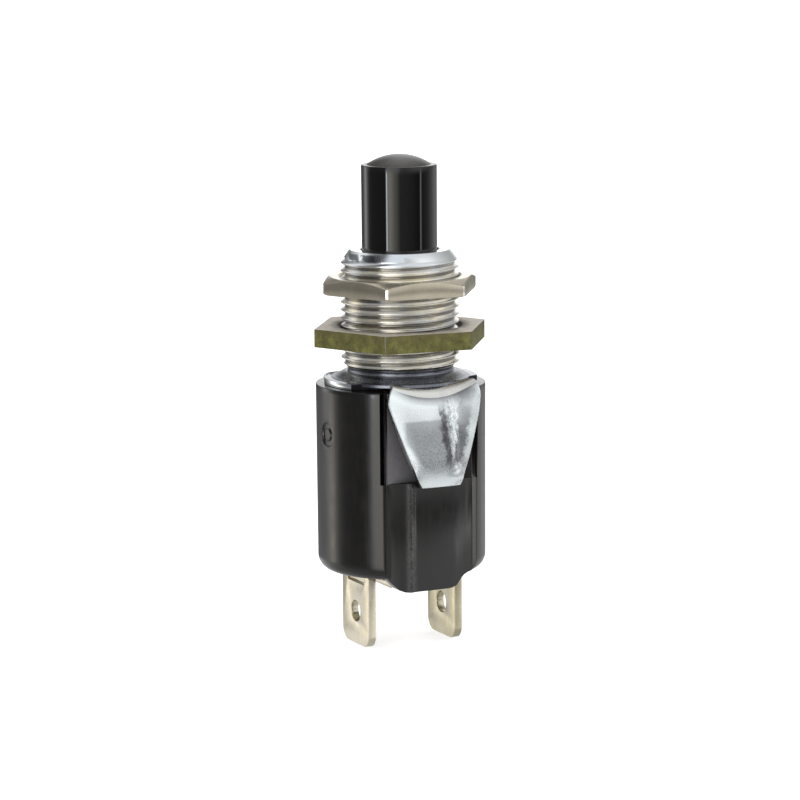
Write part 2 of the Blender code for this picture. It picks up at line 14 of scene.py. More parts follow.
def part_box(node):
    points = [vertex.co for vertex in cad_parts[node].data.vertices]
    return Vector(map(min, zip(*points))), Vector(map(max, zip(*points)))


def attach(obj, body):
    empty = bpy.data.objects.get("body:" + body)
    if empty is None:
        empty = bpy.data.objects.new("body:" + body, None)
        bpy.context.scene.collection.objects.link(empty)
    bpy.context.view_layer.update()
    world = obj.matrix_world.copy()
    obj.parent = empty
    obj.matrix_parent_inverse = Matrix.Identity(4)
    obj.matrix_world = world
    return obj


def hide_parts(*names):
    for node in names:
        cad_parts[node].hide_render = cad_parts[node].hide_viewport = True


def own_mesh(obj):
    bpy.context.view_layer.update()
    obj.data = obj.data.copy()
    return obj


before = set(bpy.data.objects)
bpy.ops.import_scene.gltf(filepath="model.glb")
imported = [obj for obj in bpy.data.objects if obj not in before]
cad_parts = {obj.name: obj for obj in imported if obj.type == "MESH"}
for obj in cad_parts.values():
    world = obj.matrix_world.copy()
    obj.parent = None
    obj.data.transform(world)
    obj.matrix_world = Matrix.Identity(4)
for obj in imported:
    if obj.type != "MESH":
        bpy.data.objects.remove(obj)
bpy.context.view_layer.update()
M = 0.001


def z_range(name):
    """Bottom and top of a frame node, in mm."""
    low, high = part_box(name)
    return low[2] / M, high[2] / M


# levels that come from the frame
BODY_LO, BODY_TOP = z_range("body_housing")
BUTTON_TOP = z_range("push_button")[1]
BUSH_TOP = z_range("threaded_bushing")[1]
FACE_LO, FACE_HI = z_range("face_nut")
BACK_LO, BACK_HI = z_range("backing_nut")
EAR_LO = z_range("mounting_frame")[0]
RETURN_LO, RETURN_HI = z_range("return_spring")
CONTACT_LO, CONTACT_HI = z_range("contact_spring")


# ------------------------------------------------------------ mesh helpers
def smooth_shade(mesh, angle):
    mesh.shade_smooth()
    mesh.set_sharp_from_angle(angle=math.radians(angle))


def new_object(name, bm, angle=38.0):
    """Object from a bmesh; edges sharper than angle (degrees) stay sharp."""
    mesh = bpy.data.meshes.new(name)
    bm.to_mesh(mesh)
    bm.free()
    ob = bpy.data.objects.new(name, mesh)
    bpy.context.scene.collection.objects.link(ob)
    smooth_shade(mesh, angle)
    return ob


def evaluated_mesh(ob):
    bpy.context.view_layer.update()
    depsgraph = bpy.context.evaluated_depsgraph_get()
    return bpy.data.meshes.new_from_object(ob.evaluated_get(depsgraph))


def apply_modifiers(ob, angle=38.0):
    mesh = evaluated_mesh(ob)
    mesh.name = ob.name
    old = ob.data
    ob.modifiers.clear()
    ob.data = mesh
    bpy.data.meshes.remove(old)
    smooth_shade(mesh, angle)
    return ob


def add_bevel(ob, width, segments, limit):
    """Round the edges that turn by more than limit degrees."""
    bevel = ob.modifiers.new("edge", "BEVEL")
    bevel.width = width * M
    bevel.segments = segments
    bevel.limit_method = "ANGLE"
    bevel.angle_limit = math.radians(limit)
    return bevel


def boolean(ob, tool, operation):
    """Combine ob with tool, apply the result and remove the tool."""
    cut = ob.modifiers.new("cut", "BOOLEAN")
    cut.operation = operation
    cut.solver = "EXACT"
    cut.object = tool
    apply_modifiers(ob)
    bpy.data.objects.remove(tool, do_unlink=True)


def vert_rows(bm, rows):
    return [[bm.verts.new((x * M, y * M, z * M)) for x, y, z in row] for row in rows]


def ring_surface(name, rings, closed=True, cap=False, angle=38.0):
    """Surface through rings of (x, y, z); a ring of one point is a pole on the axis.
    closed: the last ring joins the first; cap: the end rings are filled with fans."""
    bm = bmesh.new()
    rows = vert_rows(bm, rings)
    count = max(len(row) for row in rows)
    pairs = list(zip(rows, rows[1:]))
    if closed:
        pairs.append((rows[-1], rows[0]))
    for a, b in pairs:
        for i in range(count):
            j = (i + 1) % count
            if len(a) == 1:
                bm.faces.new((a[0], b[i], b[j]))
            elif len(b) == 1:
                bm.faces.new((a[i], b[0], a[j]))
            else:
                bm.faces.new((a[i], b[i], b[j], a[j]))
    if cap:
        for row, step in ((rows[0], 1), (rows[-1], -1)):
            centre = bm.verts.new(sum((v.co for v in row), Vector()) / count)
            for i in range(count):
                bm.faces.new((centre, row[i], row[(i + 1) % count])[::step])
    bmesh.ops.recalc_face_normals(bm, faces=bm.faces)
    return new_object(name, bm, angle)


def circle(r, z, segments):
    """Ring of points around the axis, or a single pole where r is zero."""
    if r < 1e-6:
        return [(0.0, 0.0, z)]
    turns = [2 * math.pi * i / segments for i in range(segments)]
    return [(r * math.cos(t), r * math.sin(t), z) for t in turns]


def lathe(name, profile, segments, closed=False, angle=38.0):
    """Turn a profile of (r, z) about the axis; closed for a ring section."""
    rings = [circle(r, z, segments) for r, z in profile]
    return ring_surface(name, rings, closed=closed, angle=angle)


def rounded(points, radii, steps):
    """Polyline (r, z) with its inner corners rounded; radii: one for all, or one per corner."""
    out = [points[0]]
    for k in range(1, len(points) - 1):
        before, corner, after = (Vector(p) for p in points[k - 1:k + 2])
        radius = radii if isinstance(radii, float) else radii[k - 1]
        back, ahead = before - corner, after - corner
        len_back, len_ahead = back.length, ahead.length
        back.normalize()
        ahead.normalize()
        reach = min(radius / math.tan(back.angle(ahead) / 2), len_back * 0.48, len_ahead * 0.48)
        start, end = corner + back * reach, corner + ahead * reach
        for i in range(steps + 1):
            t = i / steps
            q = (1 - t) ** 2 * start + 2 * t * (1 - t) * corner + t * t * end
            out.append((q.x, q.y))
    out.append(points[-1])
    return out


# turns the (u, v) plane of an outline square to each axis
PLANES = {"X": Matrix(((0, 0, 1, 0), (1, 0, 0, 0), (0, 1, 0, 0), (0, 0, 0, 1))),
          "Y": Matrix.Rotation(math.pi / 2, 4, "X"),
          "Z": Matrix.Identity(4)}
HOLE_POINTS = 48


def plate(name, outline, depth, axis, offset, holes=(), bevel=0.0, segments=3, weight=None):
    """Flat outline with round holes, extruded along axis about offset, its edges rounded.
    The outline is (y, z) for X, (x, z) for Y, (x, y) for Z; holes are (u, v, r).
    weight(x, y) scales the rounding of the edges that run along the outline."""
    curve = bpy.data.curves.new(name + "_o", "CURVE")
    curve.dimensions = "2D"
    curve.fill_mode = "BOTH"
    curve.extrude = depth * M / 2
    loops = [outline]
    for u, v, r in holes:
        turns = [2 * math.pi * i / HOLE_POINTS for i in range(HOLE_POINTS)]
        loops.append([(u + r * math.cos(t), v + r * math.sin(t)) for t in turns])
    for loop in loops:
        spline = curve.splines.new("POLY")
        spline.points.add(len(loop) - 1)
        for point, (u, v) in zip(spline.points, loop):
            point.co = (u * M, v * M, 0.0, 1.0)
        spline.use_cyclic_u = True
    flat = bpy.data.objects.new(name + "_o", curve)
    bpy.context.scene.collection.objects.link(flat)
    mesh = evaluated_mesh(flat)
    bpy.data.objects.remove(flat, do_unlink=True)
    shift = Vector((0.0, 0.0, 0.0))
    shift["XYZ".index(axis)] = offset * M
    mesh.transform(Matrix.Translation(shift) @ PLANES[axis])
    bm = bmesh.new()
    bm.from_mesh(mesh)
    bpy.data.meshes.remove(mesh)
    bmesh.ops.remove_doubles(bm, verts=bm.verts, dist=1e-7)
    bmesh.ops.dissolve_limit(bm, angle_limit=math.radians(1), verts=bm.verts, edges=bm.edges)
    bmesh.ops.recalc_face_normals(bm, faces=bm.faces)
    ob = new_object(name, bm)
    if bevel:
        modifier = add_bevel(ob, bevel, segments, limit=30.0)
        if weight:
            modifier.limit_method = "WEIGHT"
            weights = ob.data.attributes.new("bevel_weight_edge", "FLOAT", "EDGE")
            for edge in ob.data.edges:
                p, q = (ob.data.vertices[k].co for k in edge.vertices)
                if abs(p.z - q.z) < 1e-6:
                    ends = (weight(p.x / M, p.y / M), weight(q.x / M, q.y / M))
                    weights.data[edge.index].value = min(ends)
    return apply_modifiers(ob)


def box(name, centre, size):
    bm = bmesh.new()
    bmesh.ops.create_cube(bm, size=1.0)
    for v in bm.verts:
        v.co = Vector([c + p * s for c, p, s in zip(centre, v.co, size)]) * M
    return new_object(name, bm)


def mirrored(points, sign):
    """Outline (x, z) as it is for +1, mirrored in x for -1, with its sense of turn kept."""
    return [(sign * x, z) for x, z in points][::sign]


def smooth_min(a, b, blend):
    h = max(blend - abs(a - b), 0.0) / blend
    return min(a, b) - h * h * blend * 0.25


def smooth_step(x, low, high):
    t = min(1.0, max(0.0, (x - low) / (high - low)))
    return t * t * (3 - 2 * t)


def bell(x, width):
    return math.exp(-(x / width) ** 2)


# --------------------------------------------------------------- node graphs
class Value:
    """A node's output that can be reckoned with; each step adds one node."""

    def __init__(self, graph, socket):
        self.graph = graph
        self.socket = socket

    def __add__(self, other):
        return self.graph.calc("ADD", self, other)

    def __sub__(self, other):
        return self.graph.calc("SUBTRACT", self, other)

    def __rsub__(self, other):
        return self.graph.calc("SUBTRACT", other, self)

    def __mul__(self, other):
        return self.graph.calc("MULTIPLY", self, other)

    def __rmul__(self, other):
        return self.graph.calc("MULTIPLY", other, self)

    def __abs__(self):
        return self.graph.calc("ABSOLUTE", self)

    def madd(self, factor, plus):
        return self.graph.calc("MULTIPLY_ADD", self, factor, plus)

    def remap(self, span, to, **props):
        """Carry the range span over to the range to, clamped."""
        inputs = {"Value": self, "From Min": span[0], "From Max": span[1],
                  "To Min": to[0], "To Max": to[1]}
        return self.graph.value("MapRange", inputs, **props)

    def rise(self, low, high, peak=1.0):
        """0 below low, peak above high."""
        return self.remap((low, high), (0.0, peak))

    def fall(self, low, high, peak=1.0):
        """peak below low, 0 above high."""
        return self.remap((low, high), (peak, 0.0))

    def ramp(self, *stops):
        """Colour ramp through stops of (position, colour)."""
        node = self.graph.node("ValToRGB", {"Fac": self})
        elements = node.color_ramp.elements
        for k, (position, colour) in enumerate(stops):
            element = elements[k] if k < 2 else elements.new(position)
            element.position = position
            element.color = (*colour, 1.0)
        return Value(self.graph, node.outputs["Color"])


class Graph:
    """Short ways to add and link the nodes of one node tree."""

    def __init__(self, tree):
        self.tree = tree

    def put(self, socket, value):
        """Link a Value to a socket, or set the socket to a number or tuple."""
        if isinstance(value, Value):
            self.tree.links.new(value.socket, socket)
        elif socket.type == "RGBA":
            socket.default_value = (*value, 1.0)
        else:
            socket.default_value = value

    def node(self, kind, inputs=None, **props):
        node = self.tree.nodes.new("ShaderNode" + kind)
        for key, value in props.items():
            setattr(node, key, value)
        for key, value in (inputs or {}).items():
            self.put(node.inputs[key], value)
        return node

    def value(self, kind, inputs=None, output=0, **props):
        """Add a node and return one of its outputs."""
        return Value(self, self.node(kind, inputs, **props).outputs[output])

    def calc(self, operation, first, second=0.0, third=None):
        inputs = {0: first, 1: second}
        if third is not None:
            inputs[2] = third
        return self.value("Math", inputs, operation=operation)

    def mix(self, factor, a, b):
        """Colour a where factor is 0, b where it is 1."""
        return self.value("Mix", {"Factor": factor, 6: a, 7: b}, output=2, data_type="RGBA")

    def split(self, vector, axes):
        """The named components of a vector."""
        node = self.node("SeparateXYZ", {0: vector})
        return [Value(self, node.outputs[axis]) for axis in axes]


class Surface(Graph):
    """A material with its object coordinates."""

    def __init__(self, name):
        self.material = bpy.data.materials.new(name)
        self.material.use_nodes = True
        super().__init__(self.material.node_tree)
        self.coords = self.value("TexCoord", output="Object")

    def scaled(self, x=1, y=1, z=1):
        return self.value("Mapping", {"Vector": self.coords, "Scale": (x, y, z)})

    def noise(self, at, scale, detail, rough):
        return self.value("TexNoise", {"Vector": at, "Scale": scale, "Detail": detail,
                                       "Roughness": rough})

    def place(self, axes):
        """The named object coordinates, in mm."""
        return [part * 1000.0 for part in self.split(self.coords, axes)]

    def radius(self, x, y):
        return self.calc("SQRT", x * x + y * y)

    def side(self, y):
        """+1 on the front half, -1 on the rear half."""
        return self.calc("SIGN", y * -1.0)

    def upward(self, normal):
        """Z of the named normal: 1 where the surface faces up."""
        return self.split(self.value("NewGeometry", output=normal), "Z")[0]

    def bump(self, height, strength, depth, under=None):
        inputs = {"Height": height, "Strength": strength, "Distance": depth * M}
        if under:
            inputs["Normal"] = under
        return self.value("Bump", inputs)

    def finish(self, inputs):
        """Set the Principled shader's inputs and return the material."""
        principled = self.tree.nodes["Principled BSDF"]
        for key, value in inputs.items():
            self.put(principled.inputs[key], value)
        return self.material


# --------------------------------------------------------------- materials
GRAIN = (0.3, 0.7)      # span of a noise's values that counts in roughness and tone
# dark colour painted on level faces that look up, as painted shade
LEVEL_TOP_PAINTED_SHADE = (0.15, 0.16, 0.185)


def metal(name, tones, rough, grain=(1, 1, 1), scale=4000, depth=0.004, strength=0.25,
          stain=None, top=None, tint=None):
    """Plated metal: two tones in soft patches, fine directional grain in roughness and bump.
    stain: (colour, amount) of spots; top: colour painted on level faces as painted light or shade;
    tint: further colouring."""
    s = Surface(name)
    plain = s.scaled()
    patches = s.noise(plain, scale=420, detail=4.0, rough=0.55)
    colour = patches.ramp((0.35, tones[0]), (0.68, tones[1]))
    if stain:
        spots = s.noise(plain, scale=1500, detail=5.0, rough=0.6)
        colour = s.mix(spots.rise(0.60, 0.74, peak=stain[1]), colour, stain[0])
    # painted light or shade: level faces that look up take the top colour
    if top:
        colour = s.mix(s.upward("True Normal").rise(0.955, 0.992), colour, top)
    if tint:
        colour = tint(s, plain, colour)
    fine = s.noise(s.scaled(*grain), scale=scale, detail=4.0, rough=0.6)
    return s.finish({"Base Color": colour, "Metallic": 1.0, "Roughness": fine.remap(GRAIN, rough),
                     "Normal": s.bump(fine, strength, depth)})


def thread_tint(s, plain, colour):
    """Painted shade in the thread's roots, a bluer chamfer, and two painted dark reflections on
    the chamfer.
    """
    x, y, z = s.place("XYZ")
    # painted shade: the thread's roots darken towards near-black
    roots = s.radius(x, y).fall(5.50, 5.62, peak=0.70) * z.fall(38.45, 38.7)
    colour = s.mix(roots, colour, (0.07, 0.062, 0.050))
    colour = s.mix(z.rise(38.45, 38.7, peak=0.85), colour, (0.79, 0.83, 0.865))
    # the painted dark reflections lie across a line turned 25 degrees from the front towards -X
    ragged = s.noise(plain, scale=1500, detail=4.0, rough=0.65) - 0.5
    cos_turn, sin_turn = 0.906, 0.4226
    across = x * cos_turn - y * sin_turn
    ahead = x * -sin_turn + y * -cos_turn
    along = ragged.madd(0.8, across)
    height = ragged.madd(0.35, z)
    short = along.rise(-5.15, -4.95) * along.fall(-4.12, -3.98)
    tapering = along.rise(-3.85, -3.72) * along.fall(-2.60, -1.75)
    belt = height.rise(38.98, 39.12) * height.fall(39.62, 39.76)
    dark_reflection = s.calc("MAXIMUM", short, tapering) * belt * ahead.rise(0.5, 1.5, peak=0.90)
    return s.mix(dark_reflection, colour, (0.075, 0.090, 0.098))


def plastic(name, tones, rough, scale=900, depth=0.006, strength=0.25, noise_rough=0.6,
            stretch=1):
    """Dull moulding, two tones and roughness from one noise; stretch scales it along Z."""
    s = Surface(name)
    noise = s.noise(s.scaled(z=stretch), scale=scale, detail=4.0, rough=noise_rough)
    return s.finish({"Base Color": noise.ramp((0.3, tones[0]), (0.7, tones[1])),
                     "Roughness": noise.remap(GRAIN, rough),
                     "Normal": s.bump(noise, strength, depth)})


def gloss_black():
    """Glossy black of the button; its domed end is dusty and duller than the sides."""
    s = Surface("button_black")
    polish = s.noise(s.scaled(z=0.25), scale=900, detail=2.0, rough=0.4)
    ripple = s.noise(s.scaled(z=0.06), scale=700, detail=2.0, rough=0.5)
    fine = s.noise(s.scaled(), scale=2600, detail=4.0, rough=0.6)
    dust = fine.ramp((0.3, (0.030, 0.027, 0.025)), (0.7, (0.048, 0.044, 0.041)))
    end = s.place("Z")[0].rise(BUTTON_TOP - 1.06, BUTTON_TOP - 0.99)
    extra_rough = 0.26
    return s.finish({
        "Base Color": s.mix(end, (0.0024, 0.0021, 0.0021), dust),
        "Roughness": end.madd(extra_rough, polish.remap((0.35, 0.75), (0.035, 0.07))),
        "IOR": 1.50,
        "Normal": s.bump(ripple, strength=0.10, depth=0.01)})


def satin_black():
    """Moulded phenolic: faint brown-black with fine vertical drag marks."""
    s = Surface("body_black")
    streak = s.noise(s.scaled(z=0.10), scale=3200, detail=3.0, rough=0.6)
    plain = s.scaled()
    cloud = s.noise(plain, scale=500, detail=3.0, rough=0.6)
    fine = s.noise(plain, scale=11000, detail=3.0, rough=0.6)
    colour = streak.ramp((0.3, (0.0030, 0.0026, 0.0024)), (0.75, (0.0062, 0.0053, 0.0047)))
    colour = s.mix(cloud.rise(0.45, 0.75, peak=0.5), colour, (0.0085, 0.0070, 0.0060))
    # painted highlight: fine pale specks along the boss's ridge, 2.22 left of centre seen from
    # outside
    x, y, z = s.place("XYZ")
    off = abs(x * s.side(y) + 2.22)
    ridge = off.fall(0.15, 0.75) * z.fall(17.0, 17.3) * abs(y).rise(6.6, 6.8)
    sparkle = s.noise(s.scaled(z=0.5), scale=9500, detail=4.0, rough=0.75)
    ridge = ridge * sparkle.rise(0.40, 0.68, peak=0.80)
    grain = s.bump(fine, strength=0.10, depth=0.004)
    return s.finish({
        "Base Color": s.mix(ridge, colour, (0.080, 0.077, 0.076)),
        "Roughness": cloud.remap(GRAIN, (0.145, 0.205)) + streak.rise(*GRAIN, peak=0.05),
        "IOR": 1.52,
        "Normal": s.bump(streak, strength=0.12, depth=0.004, under=grain)})


def olive():
    """Olive chromate: grainy yellow-green sides; level faces brown-grey, with painted shade by the
    bore.
    """
    s = Surface("olive_chromate")
    plain = s.scaled()
    big = s.noise(plain, scale=900, detail=5.0, rough=0.70)
    grain = s.noise(plain, scale=3400, detail=4.0, rough=0.7)
    sides = big.ramp((0.32, (0.046, 0.040, 0.016)), (0.50, (0.090, 0.086, 0.022)),
                     (0.68, (0.180, 0.180, 0.046)))
    sides = s.mix(grain.rise(0.35, 0.70, peak=0.55), sides, (0.150, 0.148, 0.050))
    # towards the top edge the sides turn brown
    x, y, z = s.place("XYZ")
    browning = (z + big * 0.8).rise(31.75, 32.35, peak=0.40)
    sides = s.mix(browning, sides, (0.110, 0.088, 0.045))
    level = big.ramp((0.3, (0.50, 0.455, 0.385)), (0.7, (0.70, 0.655, 0.575)))
    # painted shade: level faces darken towards the bore, where the thread meets the nut
    bore_shade = (s.radius(x, y) + big * 1.2).fall(6.9, 7.9, peak=0.88)
    level = s.mix(bore_shade, level, (0.045, 0.036, 0.026))
    facing = abs(s.upward("Normal")).rise(0.55, 0.85)
    return s.finish({"Base Color": s.mix(facing, sides, level),
                     "Metallic": 0.18,
                     "Roughness": grain.remap(GRAIN, (0.48, 0.62)),
                     "Specular IOR Level": 0.25,
                     "Normal": s.bump(grain, strength=0.35, depth=0.012)})


def ear_zinc():
    """Dull, stamped zinc of the ears: pale field, painted reflections as a grey patch and dark and
    dim zones beside the fold, painted shadow under the bend, painted shade on faces that look up.
    Left and right are as seen from outside each ear."""
    s = Surface("ear_zinc")
    plain = s.scaled()
    x, y, z = s.place("XYZ")
    u = x * s.side(y)
    # ragged coordinates for the edges of the marks; numbers are mm across and up the ear
    coarse = s.noise(plain, scale=900, detail=4.0, rough=0.6) - 0.5
    medium = s.noise(plain, scale=2600, detail=4.0, rough=0.7) - 0.5
    ragged = coarse * 0.8 + medium * 0.9
    across = u + ragged
    height = z + ragged * 0.45
    # painted reflection: a grey patch with calmer edges, its lower left corner fading away
    calm_height = z + ragged * 0.28
    left = u + ragged * 0.45 - s.calc("MAXIMUM", 21.6 - z, 0.0) * 0.72
    patch = (calm_height.fall(23.45, 23.70) * left.rise(-3.45, -2.95)
             * across.fall(1.2, 1.9) * height.rise(18.35, 19.05))
    # painted reflection: dark slope left of the fold, along a leaning line
    slope = (24.5 - z).madd(0.135, 0.86)
    dark = (abs(across - slope).fall(0.20, 0.50) * height.fall(24.3, 25.2)
            * height.rise(18.5, 19.1))
    # painted reflection: a dim zone right of the fold, its two edges leaning differently
    lean = 22.3 - z
    dim_reflection = ((across + lean * 0.16).rise(2.30, 2.55) * (across + lean * 0.25).fall(3.50, 3.90)
            * height.remap((22.8, 24.2), (1.0, 0.30)) * height.rise(18.8, 19.6))
    # painted shadow under the bend, along a parabola
    middle = u - 0.3
    arc = (middle * middle).madd(0.058, 25.76) - z
    step = (arc.rise(-0.06, 0.03) * arc.fall(0.08, 0.85)
            * abs(middle).remap((2.6, 4.8), (1.0, 0.30)))
    # painted shade: a dark wedge between the bend and the head of the fold
    wedge = (across.rise(1.9, 3.0) * across.fall(4.0, 4.9)
             * (height - u * 0.35).rise(23.7, 24.3) * arc.rise(-0.12, 0.04))
    # painted pale slivers across the dark slope, and painted dark flecks along the fold
    sliver = s.noise(s.scaled(z=0.30), scale=3000, detail=4.0, rough=0.75)
    dark = dark * sliver.rise(0.50, 0.60).madd(-0.55, 1.0)
    on_fold = (abs(u - (slope + 0.85)).fall(0.30, 0.62) * height.rise(18.4, 19.2)
               * height.fall(25.4, 26.0) * sliver.fall(0.44, 0.52))
    # painted pale glints in the lower part of the patch
    pale_glints = height.fall(19.0, 22.6, peak=0.55) * medium.fall(-0.02, 0.08)
    # each mask darkens the tone by its share; a negative share brightens it
    tone = 1.0
    for mask, share in ((patch, 0.42), (dark, 0.74), (dim_reflection, 0.70), (step, 0.68), (wedge, 0.45),
                        (on_fold, 0.45), (height.fall(18.6, 20.0), 0.22),
                        (pale_glints * patch, -0.42)):
        tone = tone * mask.madd(-share, 1.0)
    speck = s.noise(plain, scale=8800, detail=3.0, rough=0.70)
    tone = tone * speck.remap((0.34, 0.66), (0.90, 1.05))
    field = s.noise(plain, scale=500, detail=4.0, rough=0.6).ramp(
        (0.35, (0.86, 0.93, 0.955)), (0.7, (0.95, 0.985, 0.995)))
    colour = s.mix(tone, (0.035, 0.030, 0.040), field)
    # the bend above the step is painted a warmer grey, a painted reflection
    colour = s.mix(arc.fall(-0.12, 0.02, peak=0.80), colour, (0.60, 0.59, 0.555))
    # painted shade: faces that look up are dark
    colour = s.mix(s.upward("Normal").rise(0.91, 0.985), colour, LEVEL_TOP_PAINTED_SHADE)
    # crumpled metal on the fold itself
    fold = (abs(u - (slope + 0.80)).remap((0.25, 0.65), (1.0, 0.12))
            * z.remap((18.2, 19.0), (0.12, 1.0)))
    crumple = s.noise(s.scaled(z=0.45), scale=3400, detail=4.0, rough=0.7)
    relief = crumple * fold + speck * 0.09
    return s.finish({"Base Color": colour, "Metallic": 1.0,
                     "Roughness": speck.remap(GRAIN, (0.20, 0.34)),
                     "Normal": s.bump(relief, strength=0.65, depth=0.06)})


# painted light: a lighter grey plastic for part of each channel floor
RECESS_PAINTED_LIGHT = plastic("body_channel_painted_light", ((0.085, 0.081, 0.085), (0.125, 0.119, 0.124)), rough=(0.5, 0.65),
                 scale=5200, strength=0.3, noise_rough=0.65, stretch=0.5)
BUTTON = gloss_black()
BODY = satin_black()
OLIVE = olive()
EAR = ear_zinc()
NICKEL = metal("nickel_thread", ((0.75, 0.75, 0.745), (0.97, 0.925, 0.81)), rough=(0.15, 0.22),
               grain=(1, 1, 7), scale=1800, strength=0.22, tint=thread_tint)
# painted reflection: the nut's level top is painted lighter
NUT = metal("nickel_satin", ((0.53, 0.48, 0.375), (0.61, 0.56, 0.45)), rough=(0.26, 0.31),
            grain=(1, 1, 0.03), scale=9000, depth=0.002, strength=0.08, top=(0.74, 0.71, 0.63))
# painted shade: level faces that look up are dark in this zinc
ZINC = metal("bright_zinc", ((0.76, 0.80, 0.83), (0.88, 0.91, 0.93)), rough=(0.10, 0.24),
             grain=(1, 1, 0.7), scale=5600, depth=0.007, strength=0.32,
             stain=((0.50, 0.53, 0.54), 0.40), top=LEVEL_TOP_PAINTED_SHADE)
# painted shade: dark zinc for the collar and the bushing's neck under the backing nut
COLLAR_SHADE = metal("zinc_collar_painted_shade", ((0.13, 0.14, 0.165), (0.24, 0.255, 0.285)), rough=(0.20, 0.32),
               scale=2600, depth=0.003, strength=0.10)
TINNED = {"rough": (0.22, 0.36), "grain": (1, 1, 0.3), "scale": 1600, "depth": 0.005,
          "strength": 0.30, "stain": ((0.66, 0.55, 0.38), 0.16)}
TIN = metal("tinned_brass", ((0.70, 0.635, 0.49), (0.80, 0.745, 0.61)), **TINNED)
# painted shade: a darker copy of the tinned brass, for the right blade
TIN_SHADED = metal("tinned_brass_painted_shade", ((0.50, 0.45, 0.315), (0.60, 0.545, 0.41)), **TINNED)
# painted highlights for the nuts' corner lands
NUT_CORNER_HIGHLIGHT = metal("nickel_corner_highlight", ((0.86, 0.84, 0.78), (0.95, 0.93, 0.88)),
                 rough=(0.12, 0.2), scale=3000, depth=0.003, strength=0.1)
OLIVE_CORNER_HIGHLIGHT = metal("olive_corner_highlight", ((0.13, 0.13, 0.10), (0.22, 0.22, 0.18)),
                   rough=(0.40, 0.55), scale=3000, depth=0.006, strength=0.3)
# sheared grain in the bump; the near-black colour is painted shade
SHEARED_AND_SHADED = metal("sheared_edge_painted_shade", ((0.018, 0.018, 0.020), (0.06, 0.06, 0.065)), rough=(0.35, 0.6),
                grain=(1, 1, 4), scale=3000, depth=0.02, strength=0.6)
SILVER = metal("contact_silver", ((0.80, 0.79, 0.76), (0.88, 0.87, 0.85)), rough=(0.20, 0.32))
COPPER = metal("contact_copper", ((0.66, 0.36, 0.22), (0.76, 0.46, 0.30)), rough=(0.22, 0.36),
               grain=(1, 6, 1), scale=1500)
SPRING = metal("spring_steel", ((0.44, 0.44, 0.45), (0.58, 0.58, 0.58)), rough=(0.20, 0.34),
               scale=2500)
FIBRE = plastic("red_fibre", ((0.22, 0.07, 0.045), (0.34, 0.12, 0.08)), rough=(0.65, 0.8),
                scale=3000, depth=0.01)
NYLON = plastic("natural_nylon", ((0.70, 0.67, 0.58), (0.79, 0.76, 0.68)), rough=(0.35, 0.5))


def dress(ob, material, slot_name, body, *nodes):
    """Give ob its only material, slot and moving body, and the frame nodes it replaces. slot_name
    is not used.
    """
    ob.data.materials.clear()
    ob.data.materials.append(material)
    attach(ob, body)
    if nodes:
        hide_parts(*nodes)


def paint(ob, material, chosen):
    """Second material on the faces where chosen(centre in mm, normal) holds."""
    ob.data.materials.append(material)
    for face in ob.data.polygons:
        if chosen(face.center / M, face.normal):
            face.material_index = 1


# ------------------------------------------------------------- push button
RIM_Z, RIM_R = BUTTON_TOP - 1.02, 3.79
DOME_R = 3.27
DOME_STEPS = 22


def build_button():
    """Cap with a domed end inside a flat rim, a flange at the foot and a blind bore."""
    height = BUTTON_TOP - RIM_Z
    sphere = (DOME_R ** 2 + height ** 2) / (2 * height)
    sphere_z = BUTTON_TOP - sphere
    reach = math.asin(DOME_R / sphere)
    turns = [reach * i / DOME_STEPS for i in range(DOME_STEPS + 1)]
    profile = [(sphere * math.sin(t), sphere_z + sphere * math.cos(t)) for t in turns]
    profile += rounded([(DOME_R + 0.02, RIM_Z), (RIM_R, RIM_Z), (RIM_R, RIM_Z - 1.2)], 0.09, 4)
    profile += [(3.785, 46.0), (3.775, 43.0), (3.77, 40.0), (3.77, 37.10)]
    profile += rounded([(3.77, 37.02), (3.80, 36.97), (4.60, 36.97), (4.60, 35.55),
                        (1.95, 35.55)], 0.08, 3)
    profile += [(1.95, 43.44), (0.0, 43.44)]
    button = lathe("button_cap", profile, 192, angle=32)
    dress(button, BUTTON, "black_gloss", "plunger", "push_button")


build_button()

# -------------------------------------------------------- threaded bushing
PITCH, THREAD_PHASE_Z = 0.79375, 0.145
MAJOR_R, ROOT_R = 5.93, 5.47
THREAD_LO, THREAD_END = 28.2, 39.06
THREAD_STEPS = 300
FADE_IN = 0.35              # height over which the thread grows out of the neck
NECK_R = 5.42
BUSH_SEGMENTS = 192
NECK = [(5.42, 27.62), (5.36, 27.66), (5.31, 27.72), (5.28, 27.85), (5.30, 28.0),
        (5.38, 28.12)]      # (r, z) up the relief below the thread


def thread_radius(t, z):
    """Radius of the right-handed, 60-degree thread at angle t and height z."""
    phase = (z - THREAD_PHASE_Z) / PITCH - t / (2 * math.pi)
    fall = abs((phase + 0.5) % 1.0 - 0.5) * 2.0       # 0 on the crest, 1 in the root
    flank = min(1.0, max(0.0, (fall - 0.10) / 0.80))
    depth = 0.15 * smooth_step(fall, 0.04, 0.97) + 0.85 * flank
    return MAJOR_R - (MAJOR_R - ROOT_R) * depth


def bushing_radius(t, z):
    """The thread, cut by the chamfer at its top and fading into the neck at its foot."""
    r = thread_radius(t, z)
    if z > 38.3:
        r = smooth_min(r, 5.60 + (39.08 - z) * 0.72, 0.16)
    if z < THREAD_LO + FADE_IN + 0.01:
        r = NECK_R + (r - NECK_R) * smooth_step(z, THREAD_LO, THREAD_LO + FADE_IN)
    return r


